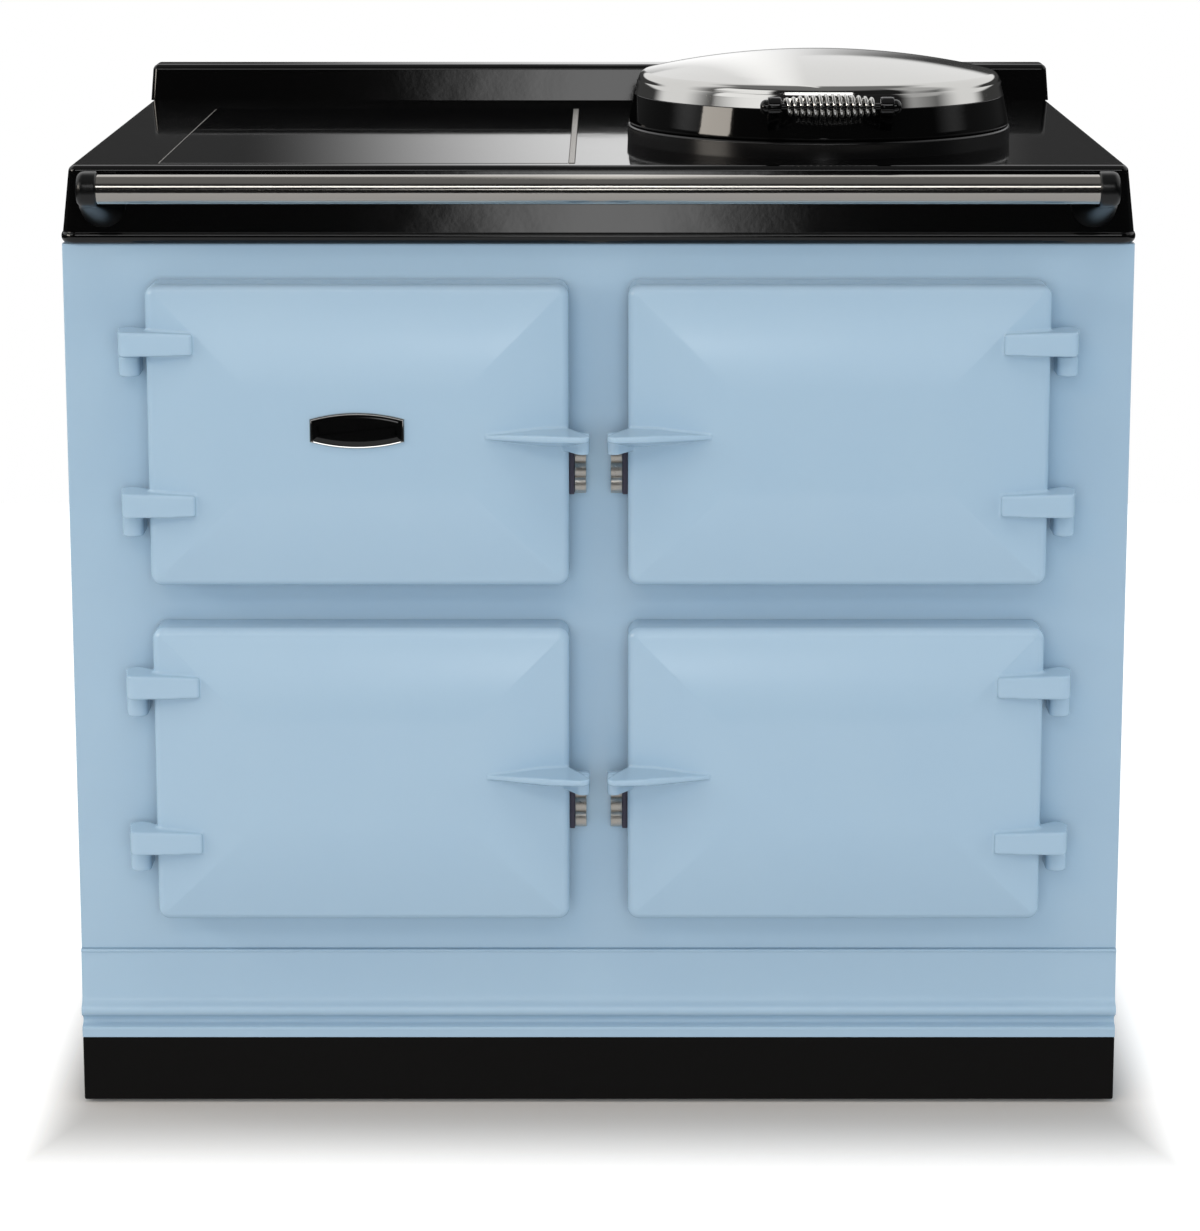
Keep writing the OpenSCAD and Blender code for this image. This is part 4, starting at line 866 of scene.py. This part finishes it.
bm = shape(turned, [(RAIL_R, RAIL_LOW.x), (RAIL_R, RAIL_HIGH.x), (RAIL_R - 1.5, RAIL_HIGH.x),
                    (RAIL_R - 1.5, RAIL_LOW.x)], (0, RAIL_Y, RAIL_Z), "X", closed=True, segments=96)
piece(bm, "towel_rail_tube", "polished_steel", "towel_rail")


def rail_bracket():
    """The right-hand bracket: a cup over the rail's end on an arm that spreads to the bolster."""
    bm = shape(turned, [(0, SOCKET), (RAIL_R, SOCKET), (RAIL_R, 0), (HEAD_R - 1, 0), (HEAD_R, 1)]
               + arc((HEAD_R - 7, 12), 7, 0, 90, 6) + [(0, 19)], (HEAD_X, RAIL_Y, RAIL_Z), "X",
               segments=64)
    arm = bmesh.new()
    foot = bmesh.ops.create_cone(arm, cap_ends=True, segments=48, radius1=22, radius2=21,
                                 depth=12)["verts"]
    bmesh.ops.transform(arm, matrix=Matrix.Translation((HEAD_X + 4, HOB_LOW.y + 7, RAIL_Z - 22))
                        @ Matrix.Rotation(math.pi / 2, 4, "X"), verts=foot)
    neck_x, neck_y = HEAD_X + 9.5, RAIL_Y + 9
    hull(arm, foot, drum(arm, (neck_x, neck_y, RAIL_Z - HEAD_R), (neck_x, neck_y, RAIL_Z), 9))
    join(bm, arm)
    cast(bm, GRAIN, 4)
    cut(bm, shape(drum, (HEAD_X - 60, RAIL_Y, RAIL_Z), (HEAD_X + SOCKET, RAIL_Y, RAIL_Z),
                  RAIL_R + 0.2))
    return bm


both_hands = [Matrix.Diagonal((side, 1, 1, 1)) for side in SIDES]
piece(stamped(rail_bracket(), both_hands), "rail_bracket_castings", "black_enamel",
      "rail_brackets", sharp=70, finish="black_casting")


# ---------------- hotplate and lid

LID_FOOT = LID_LOW.z
RING_TOP = LID_HIGH.z
SURROUND_TOP = corners("hotplate_surround")[1].z
PLATE_R = (corners("hotplate")[1].x - corners("hotplate")[0].x) / 2
BAND_R = LID_R - 5.5  # the polished shell's upright band
BAND_TOP = RING_TOP + 21
SHOULDER_R = 9  # the band turns into the dome in this radius
DOME_R = BAND_R - 7
DOME_TOP = corners("lid_shell")[1].z
SHELL_T = 2.5

bm = shape(turned, [(PLATE_R + 0.1, HOB_Z), (LID_R + 1, HOB_Z), (LID_R + 1, HOB_Z + 1.5)]
           + arc((LID_R - 1, SURROUND_TOP - 2.6), 2.5, -10, 90, 6)
           + [(PLATE_R + 0.1, SURROUND_TOP)], LID, closed=True, segments=160)
piece(bm, "hotplate_surround_casting", "grey_surround", "hotplate_surround")

low, high = corners("hotplate")
bm = shape(turned, [(0, low.z), (PLATE_R - 1, low.z), (PLATE_R, low.z + 1), (PLATE_R, high.z - 1.5),
                    (PLATE_R - 0.5, high.z - 0.5), (PLATE_R - 1.5, high.z), (0, high.z)], LID,
           segments=160)
piece(bm, "hotplate_disc", "machined_iron", "hotplate")

bm = shape(turned, [(LID_R - 24, LID_FOOT)] + arc((LID_R - 3, LID_FOOT + 3), 3, -90, 0, 6)
           + [(LID_R - 0.6, LID_FOOT + 6), (BAND_R + 0.2, RING_TOP - 1.2)]
           + arc((BAND_R - 0.8, RING_TOP - 1), 1, 15, 90, 4) + [(BAND_R - 24, RING_TOP)],
           LID, closed=True, segments=192)
piece(bm, "lid_ring_casting", "black_enamel", "lid_ring", "lid")

sphere = (DOME_R ** 2 + (DOME_TOP - BAND_TOP) ** 2) / (2 * (DOME_TOP - BAND_TOP))
dome = [(DOME_R * t / 20, DOME_TOP - sphere + math.sqrt(sphere ** 2 - (DOME_R * t / 20) ** 2))
        for t in range(21)]
shoulder = arc((DOME_R - SHOULDER_R + 3, BAND_TOP - SHOULDER_R + 1), SHOULDER_R, 12, 76, 10)[::-1]
inside = [(r * (DOME_R - SHELL_T) / DOME_R, z - SHELL_T) for r, z in dome][::-1]
band_in = BAND_R - SHELL_T
bm = shape(turned, dome[:-2] + shoulder + [(BAND_R, RING_TOP), (band_in, RING_TOP),
                                           (band_in, BAND_TOP - SHOULDER_R)] + inside, LID,
           segments=192)
piece(bm, "lid_shell_spinning", "chrome_plate", "lid_shell", "lid", 50)

low, high = corners("lid_liner")
r = (high.x - low.x) / 2
bm = shape(turned, [(0, high.z), (r - 1, high.z), (r, high.z - 1), (r, low.z + 1), (r - 1, low.z),
                    (r - 14, low.z), (r - 17, low.z + 1.2), (r - 60, low.z + 1.2),
                    (r - 63, low.z), (0, low.z)], LID)
piece(bm, "lid_liner_pressing", "aluminium_sheet", "lid_liner", "lid")

COIL_LOW, COIL_HIGH = corners("lid_handle_coil")
COIL = (COIL_LOW + COIL_HIGH) / 2 - Vector((0, 0, 2.5))
COIL_HALF = (COIL_HIGH.x - COIL_LOW.x) / 2
LUG_W = 13  # the handle's lugs, along the rod
WIRE_R = 1.75


def coil_line(turns=14, each=28, end_r=7, mid_r=11):
    """A barrel-shaped helix whose ends run in along the rod."""
    run = 2 * (COIL_HALF - 2 * WIRE_R)
    points = []
    for i in range(turns * each + 1):
        t = i / (turns * each)
        r = end_r + (mid_r - end_r) * math.sin(math.pi * t)
        a = math.tau * turns * t
        points.append(COIL + Vector((run * (t - 0.5), r * math.cos(a), r * math.sin(a))))
    lead = Vector((2 * WIRE_R, 0, 0))
    return [points[0] - lead] + points + [points[-1] + lead]


piece(drawn(coil_line(), WIRE_R, 12), "lid_handle_spring", "chrome_plate", "lid_handle_coil",
      "lid", 60)

rod_end = COIL_HALF + LUG_W
bm = shape(turned, [(0, -rod_end), (3.5, -rod_end), (3.5, rod_end), (0, rod_end)], COIL, "X",
           segments=32)
nut = [(0, 0), (7, 0), (7, 1.5)] + arc((1.5, 1.5), 5.5, 10, 90, 6) + [(0, 7)]
for side in SIDES:
    turned(bm, [(r, side * (rod_end + x)) for r, x in nut], COIL, "X", segments=40)
# The rod and its nuts are black enamel rather than their slot's chrome: the nuts are black, and on
# the rod the black paints the shade inside the coil.
piece(bm, "lid_handle_rod_and_nuts", "chrome_plate", "lid_handle_rod", "lid",
      finish="black_enamel")


def handle_lug():
    """The right-hand lug: a round eye on a foot that runs back and down to the ring."""
    bm = bmesh.new()
    x = COIL.x + COIL_HALF
    seat = LID.y - math.sqrt((LID_R - 1) ** 2 - (x + LUG_W - LID.x) ** 2) + 1
    eye = drum(bm, (x, COIL.y, COIL.z), (x + LUG_W, COIL.y, COIL.z), 9.5)
    foot = block(bm, (x, seat - 1, LID_FOOT + 9), (x + LUG_W, seat + 4, LID_FOOT + 27))
    hull(bm, eye, foot)
    return bm


lugs = []
to_lid = Matrix.Translation((LID.x, 0, 0))
for side in SIDES:
    mirror = to_lid @ Matrix.Diagonal((side, 1, 1, 1)) @ to_lid.inverted()
    lug = stamped(handle_lug(), [mirror])
    cast(lug, GRAIN, 4)
    lugs.append(lug)
bm = join(bmesh.new(), *lugs)
cut(bm, shape(turned, [(0, LID_FOOT - 2), (LID_R - 1, LID_FOOT - 2), (LID_R - 1, LID_FOOT + 6),
                       (BAND_R - 0.6, RING_TOP), (BAND_R - 2, RING_TOP + 30), (0, RING_TOP + 30)],
              LID, segments=192))
piece(bm, "lid_handle_lug_castings", "black_enamel", "lid_handle_lugs", "lid", 60)


# ---------------- ovens, shelves and controls

SHEET_T = 3
LEDGES = (45, 100, 155)  # from the oven's floor to each ledge's top


def oven_liner(node):
    """A folded box behind a doorway, its inside corners rounded, with ledges for the shelves."""
    low, high = corners(node)
    bm = shape(block, low, high)
    room = shape(block, (low.x + SHEET_T, low.y - 5, low.z + SHEET_T),
                 high - Vector((SHEET_T, SHEET_T, SHEET_T)))
    round_edges(room, [e for e in room.edges if any(v.co.y > 0 for v in e.verts)], 6, 4)
    cut(bm, room)
    if node != "control_box":
        for side in SIDES:
            for rise in LEDGES:
                x = high.x - SHEET_T if side > 0 else low.x + SHEET_T
                ends = sorted((x + side * 0.1, x - side * 7))
                z = low.z + SHEET_T + rise
                soft_block(bm, (ends[0], low.y + 20, z - 5), (ends[1], high.y - SHEET_T, z), 1.2)
    return bm


for node in ("roasting_oven", "baking_oven", "simmering_oven", "control_box"):
    bm = oven_liner(node)
    if node == "control_box":
        knobs = [middle(name) for name in ("knob_left", "knob_middle", "knob_right")]
        cut(bm, *[shape(drum, (k.x, 40, k.z), (k.x, 90, k.z), 4.4) for k in knobs])
    piece(bm, node + "_enamelled", "oven_enamel", node)

for name in ("roasting", "baking", "simmering"):
    low, high = corners("shelf_" + name)
    z = (low.z + high.z) / 2
    r = (high.z - low.z) / 2
    bend, bars = 12, 12
    inset = r + bend
    left, right, front, back = low.x + inset, high.x - inset, low.y + inset, high.y - inset
    ring = (arc((right, back), bend, 0, 90) + arc((left, back), bend, 90, 180)
            + arc((left, front), bend, 180, 270) + arc((right, front), bend, 270, 360))
    bm = drawn([(x, y, z) for x, y in ring], r, 12, closed=True)
    for i in range(1, bars + 1):
        x = low.x + r + (high.x - low.x - 2 * r) * i / (bars + 1)
        join(bm, drawn([(x, low.y + r, z), (x, high.y - r, z)], 2, 10))
    piece(bm, f"shelf_{name}_grid", "chrome_plate", "shelf_" + name, "shelf_" + name, 60)

for name in ("left", "middle", "right"):
    low, high = corners("knob_" + name)
    x, z = (low.x + high.x) / 2, (low.z + high.z) / 2
    face = high.y - 12
    bm = shape(turned, [(0, 0), (21, 0), (21, -4)] + arc((18, -5), 3, 0, -90, 4) + [(0, -8)],
               (x, face, z), "Y", segments=64)
    soft_block(bm, (x - 4.5, face - 22, z - 19), (x + 4.5, face - 7, z + 19), 2)
    drum(bm, (x, face - 1, z), (x, face + 12, z), 4, segments=24)
    piece(bm, f"knob_{name}_moulding", "knob_plastic", "knob_" + name, "knob_" + name)


# ---------------- base, back and inside

low, high = corners("levelling_feet")
bm = bmesh.new()
for side in SIDES:
    for y in (low.y + 25, high.y - 25):
        turned(bm, [(0, 0), (23, 0), (25, 2), (25, 8), (23, 10), (9, 10), (9, 17), (6, 17),
                    (6, high.z), (0, high.z)], (side * (high.x - 25), y, 0), segments=48)
piece(bm, "levelling_foot_set", "foot_rubber", "levelling_feet")

low, high = corners("cable_grommet")
centre = (low + high) / 2
bm = shape(turned, [(11, low.y), (16, low.y), (16, high.y - 5), (21, high.y - 5)]
           + arc((19, high.y - 2), 2, 0, 90, 4) + [(13, high.y), (11, high.y - 2)],
           (centre.x, 0, centre.z), "Y", closed=True, segments=64)
piece(bm, "cable_bush", "foot_rubber", "cable_grommet")

low, high = corners("panel_screws")
bm = shape(turned, [(0, 0), (4, 0), (4, 0.8)] + arc((1.4, 0.8), 2.6, 0, 60, 4)[1:] + [(0, 2.5)],
           axis="Y", segments=24)
for turn in (0, 90):
    slot = shape(block, (-2.2, 1.5, -0.45), (2.2, 3.5, 0.45))
    bmesh.ops.rotate(slot, matrix=Matrix.Rotation(math.radians(turn), 3, "Y"), verts=slot.verts)
    cut(bm, slot)
rows = [low.z + 4 + i * (high.z - low.z - 8) / 3 for i in range(4)]
places = [Matrix.Translation((side * (high.x - 4), low.y, z)) for side in SIDES for z in rows]
piece(stamped(bm, places), "back_panel_screws", "polished_steel", "panel_screws")


# CAD nodes again, their cut edges broken by a small radius.
for node, slot, radius, body in (("base_pan", "galvanised_steel", 0.6, "root"),
                                 ("chassis_frame", "galvanised_steel", 0.8, "root"),
                                 ("back_panel", "galvanised_steel", 0.4, "root"),
                                 ("induction_tray", "aluminium_sheet", 0.5, "root"),
                                 ("lid_hinge_arm", "black_enamel", 2, "lid"),
                                 ("lid_hinge_bracket", "black_enamel", 2, "root"),
                                 ("lid_hinge_pin", "polished_steel", 0.8, "root")):
    made = piece(copy_of(node), node + "_eased", slot, node, body)
    ease = made.modifiers.new("broken_edges", "BEVEL")
    ease.width = radius * MM
    ease.segments = 2
    ease.limit_method = "ANGLE"
    ease.angle_limit = math.radians(50)

# The nodes whose own mesh still shows keep it, in their slot's finish.
for part in frame["record"]["subparts"]:
    mesh = frame["nodes"][part["node"]].data
    mesh.materials.clear()
    mesh.materials.append(FINISHES[part["material_slot"]])


# ---------------- studio

# The floor turns white between these distances from the cooker's middle, in metres.
CLEAR_OF_COOKER = (("X", 0.49, 0.57), ("Y", 0.34, 0.56))

# What polished surfaces mirror. Each group is one bright thing. Its ramps multiply: an angle, where
# the ramp starts and ends in degrees, and its strength there. Height is above the horizon, bearing
# is from straight back towards the right, and aside is bearing to either side.
MIRRORED_ROOM = (
    # the back wall and its foot
    (("height", 8, 12, 0, 0.9), ("height", 50, 68, 1, 0), ("aside", 80, 110, 1, 0)),
    (("off_middle", 0, 6.2, 1.15, 0.05), ("height", -3, 2, 0.1, 1), ("aside", 85, 100, 1, 0)),
    # the right wall
    (("bearing", 5, 30, 0, 0.5), ("bearing", 118, 130, 1, 0), ("height", 15, 24, 0, 1),
     ("height", 50, 70, 1, 0)),
    # the left window
    (("bearing", -148, -142, 0, 1.1), ("bearing", -108, -102, 1, 0), ("height", 18, 24, 0, 1),
     ("height", 38, 46, 1, 0)),
    # the front lamp
    (("aside", 176.8, 179.6, 0, 3.2), ("height", 2, 5, 0, 1), ("height", 8, 10, 1, 0)),
    # the ceiling
    (("height", 40, 60, 0.015, 0.2),),
)


def studio_floor():
    """A pale floor that keeps the cooker's shadow and is white where it is seen in the open."""
    mesh = as_mesh(shape(bmesh.ops.create_grid, x_segments=1, y_segments=1, size=2.6), "floor")
    material = bpy.data.materials.new("pale_studio_floor")
    material.use_nodes = True
    tree = material.node_tree
    path = add(tree, "LightPath", {}).outputs
    away = add(tree, "TexCoord", {}).outputs["Object"]
    away = add(tree, "VectorMath", {0: away}, operation="ABSOLUTE")
    away = add(tree, "SeparateXYZ", {"Vector": away})
    clear = [add(tree, "MapRange", {"Value": away.outputs[way], "From Min": near, "From Max": far,
                                    "To Min": 0.04, "To Max": 0.8},
                 interpolation_type="SMOOTHSTEP") for way, near, far in CLEAR_OF_COOKER]
    open_floor = add(tree, "Math", {0: clear[0], 1: clear[1]}, operation="MAXIMUM")
    mirrored = add(tree, "Math", {0: path["Is Glossy Ray"], 1: path["Is Transmission Ray"]},
                   operation="MAXIMUM")
    mirrored = add(tree, "Math", {0: mirrored, 1: 0.35}, operation="MULTIPLY")
    glow = add(tree, "Mix", {0: path["Is Camera Ray"], 2: mirrored, 3: open_floor},
               data_type="FLOAT")
    tone = add(tree, "Mix", {0: path["Is Diffuse Ray"], 6: "848484", 7: "dcdcdc"},
               data_type="RGBA")
    tone = add(tree, "Mix", {0: path["Is Camera Ray"], 6: tone.outputs[2], 7: "cfcbc6"},
               data_type="RGBA")
    feed(tree.nodes["Principled BSDF"], {
        "Base Color": tone.outputs[2], "Roughness": 0.9, "Emission Color": (1, 1, 1, 1),
        "Emission Strength": glow})
    mesh.materials.append(material)
    placed("floor", mesh)


def studio_world():
    """White to the camera, an even fill for the light, and for mirrors a dim room."""
    world = bpy.data.worlds.new("studio")
    bpy.context.scene.world = world
    world.use_nodes = True
    tree = world.node_tree
    tree.nodes.clear()
    look = add(tree, "TexCoord", {}).outputs["Generated"]
    look = add(tree, "SeparateXYZ", {"Vector": look}).outputs
    height = add(tree, "Math", {0: look["Z"]}, operation="ARCSINE")
    bearing = add(tree, "Math", {0: look["X"], 1: look["Y"]}, operation="ARCTAN2")
    aside = add(tree, "Math", {0: bearing}, operation="ABSOLUTE")
    off_middle = add(tree, "Math", {0: bearing, 1: math.radians(0.5)}, operation="SUBTRACT")
    off_middle = add(tree, "Math", {0: off_middle}, operation="ABSOLUTE")
    angles = {"height": height, "bearing": bearing, "aside": aside, "off_middle": off_middle}
    room = None
    for ramps in MIRRORED_ROOM:
        strength = None
        for angle, start, end, low, high in ramps:
            ramp = add(tree, "MapRange",
                       {"Value": angles[angle], "From Min": math.radians(start),
                        "From Max": math.radians(end), "To Min": low, "To Max": high},
                       interpolation_type="SMOOTHSTEP")
            strength = ramp if strength is None else add(
                tree, "Math", {0: strength, 1: ramp}, operation="MULTIPLY")
        room = strength if room is None else add(
            tree, "Math", {0: room, 1: strength}, operation="MAXIMUM")
    path = add(tree, "LightPath", {}).outputs
    clear = add(tree, "Math", {0: path["Is Camera Ray"], 1: path["Is Transmission Ray"]},
                operation="MAXIMUM")
    fill = add(tree, "Background", {"Color": "cfe8ff", "Strength": 0.42})
    mirrored = add(tree, "Background", {"Color": (1, 1, 1, 1), "Strength": room})
    white = add(tree, "Background", {"Color": (1, 1, 1, 1), "Strength": 1.0})
    inner = add(tree, "MixShader", {0: path["Is Glossy Ray"], 1: fill, 2: mirrored})
    mix = add(tree, "MixShader", {0: clear, 1: inner, 2: white})
    add(tree, "OutputWorld", {"Surface": mix})


def softbox(name, place, aim, width, height, power, tint="ffffff", mirrored=True):
    """A rectangular area lamp pointed at a place, that polished metal may mirror or not."""
    data = bpy.data.lights.new(name, "AREA")
    data.shape = "RECTANGLE"
    data.size, data.size_y, data.energy = width, height, power
    data.color = colour(tint)[:3]
    made = placed(name, data)
    made.location = place
    made.visible_glossy = mirrored
    made.rotation_euler = (Vector(aim) - Vector(place)).to_track_quat("-Z", "Y").to_euler()


studio_floor()
studio_world()
softbox("key_left", (-1.38, -3.27, 2.89), (0, -0.3, 0.6), 1.4, 1.2, 12, "ffc488", False)
softbox("overhead", (0, -1.3, 3.0), (0, -0.35, 0.6), 1.6, 0.9, 16, "fff0e0", False)
softbox("front_fill", (0, -4.4, 1.1), (0, -0.3, 0.45), 2.6, 1.6, 56, "fffdfa", False)
softbox("right_fill", (3.6, -0.6, 1.2), (0.5, 0, 0.5), 1.6, 1.4, 32, "fffcf6", False)
softbox("left_fill", (-3.6, 0.4, 1.2), (-0.5, 0, 0.5), 1.6, 1.4, 28, "fffcf6", False)
softbox("back_fill", (0, 4.2, 1.4), (0, 0.4, 0.5), 1.6, 1.4, 32, "fffcf6", False)
softbox("window_left", (-2.6, -1.25, 1.55), (0.1, -0.1, 0.9), 1.1, 0.55, 15, "fff6ea")
softbox("strip_front", (0.0, -3.9, 2.72), (0, -0.35, 0.85), 3.0, 0.6, 16)


PICTURE_H = 1231  # pixels
FOCAL_PIXELS = 3728
OFF_CENTRE = -7  # pixels
SHIFT = -0.12  # of the picture's height
DOWNWARD = math.radians(10.987)  # the camera's tilt
SENSOR = 36

data = bpy.data.cameras.new("camera")
data.sensor_width = SENSOR
data.lens = SENSOR * FOCAL_PIXELS / PICTURE_H
data.shift_x, data.shift_y = OFF_CENTRE / PICTURE_H, SHIFT
camera = placed("camera", data)
camera.location = (0.008, -3.75, 1.297)
camera.rotation_euler = (math.pi / 2 - DOWNWARD, 0, 0)
bpy.context.scene.camera = camera
bpy.context.scene.view_settings.view_transform = "Standard"
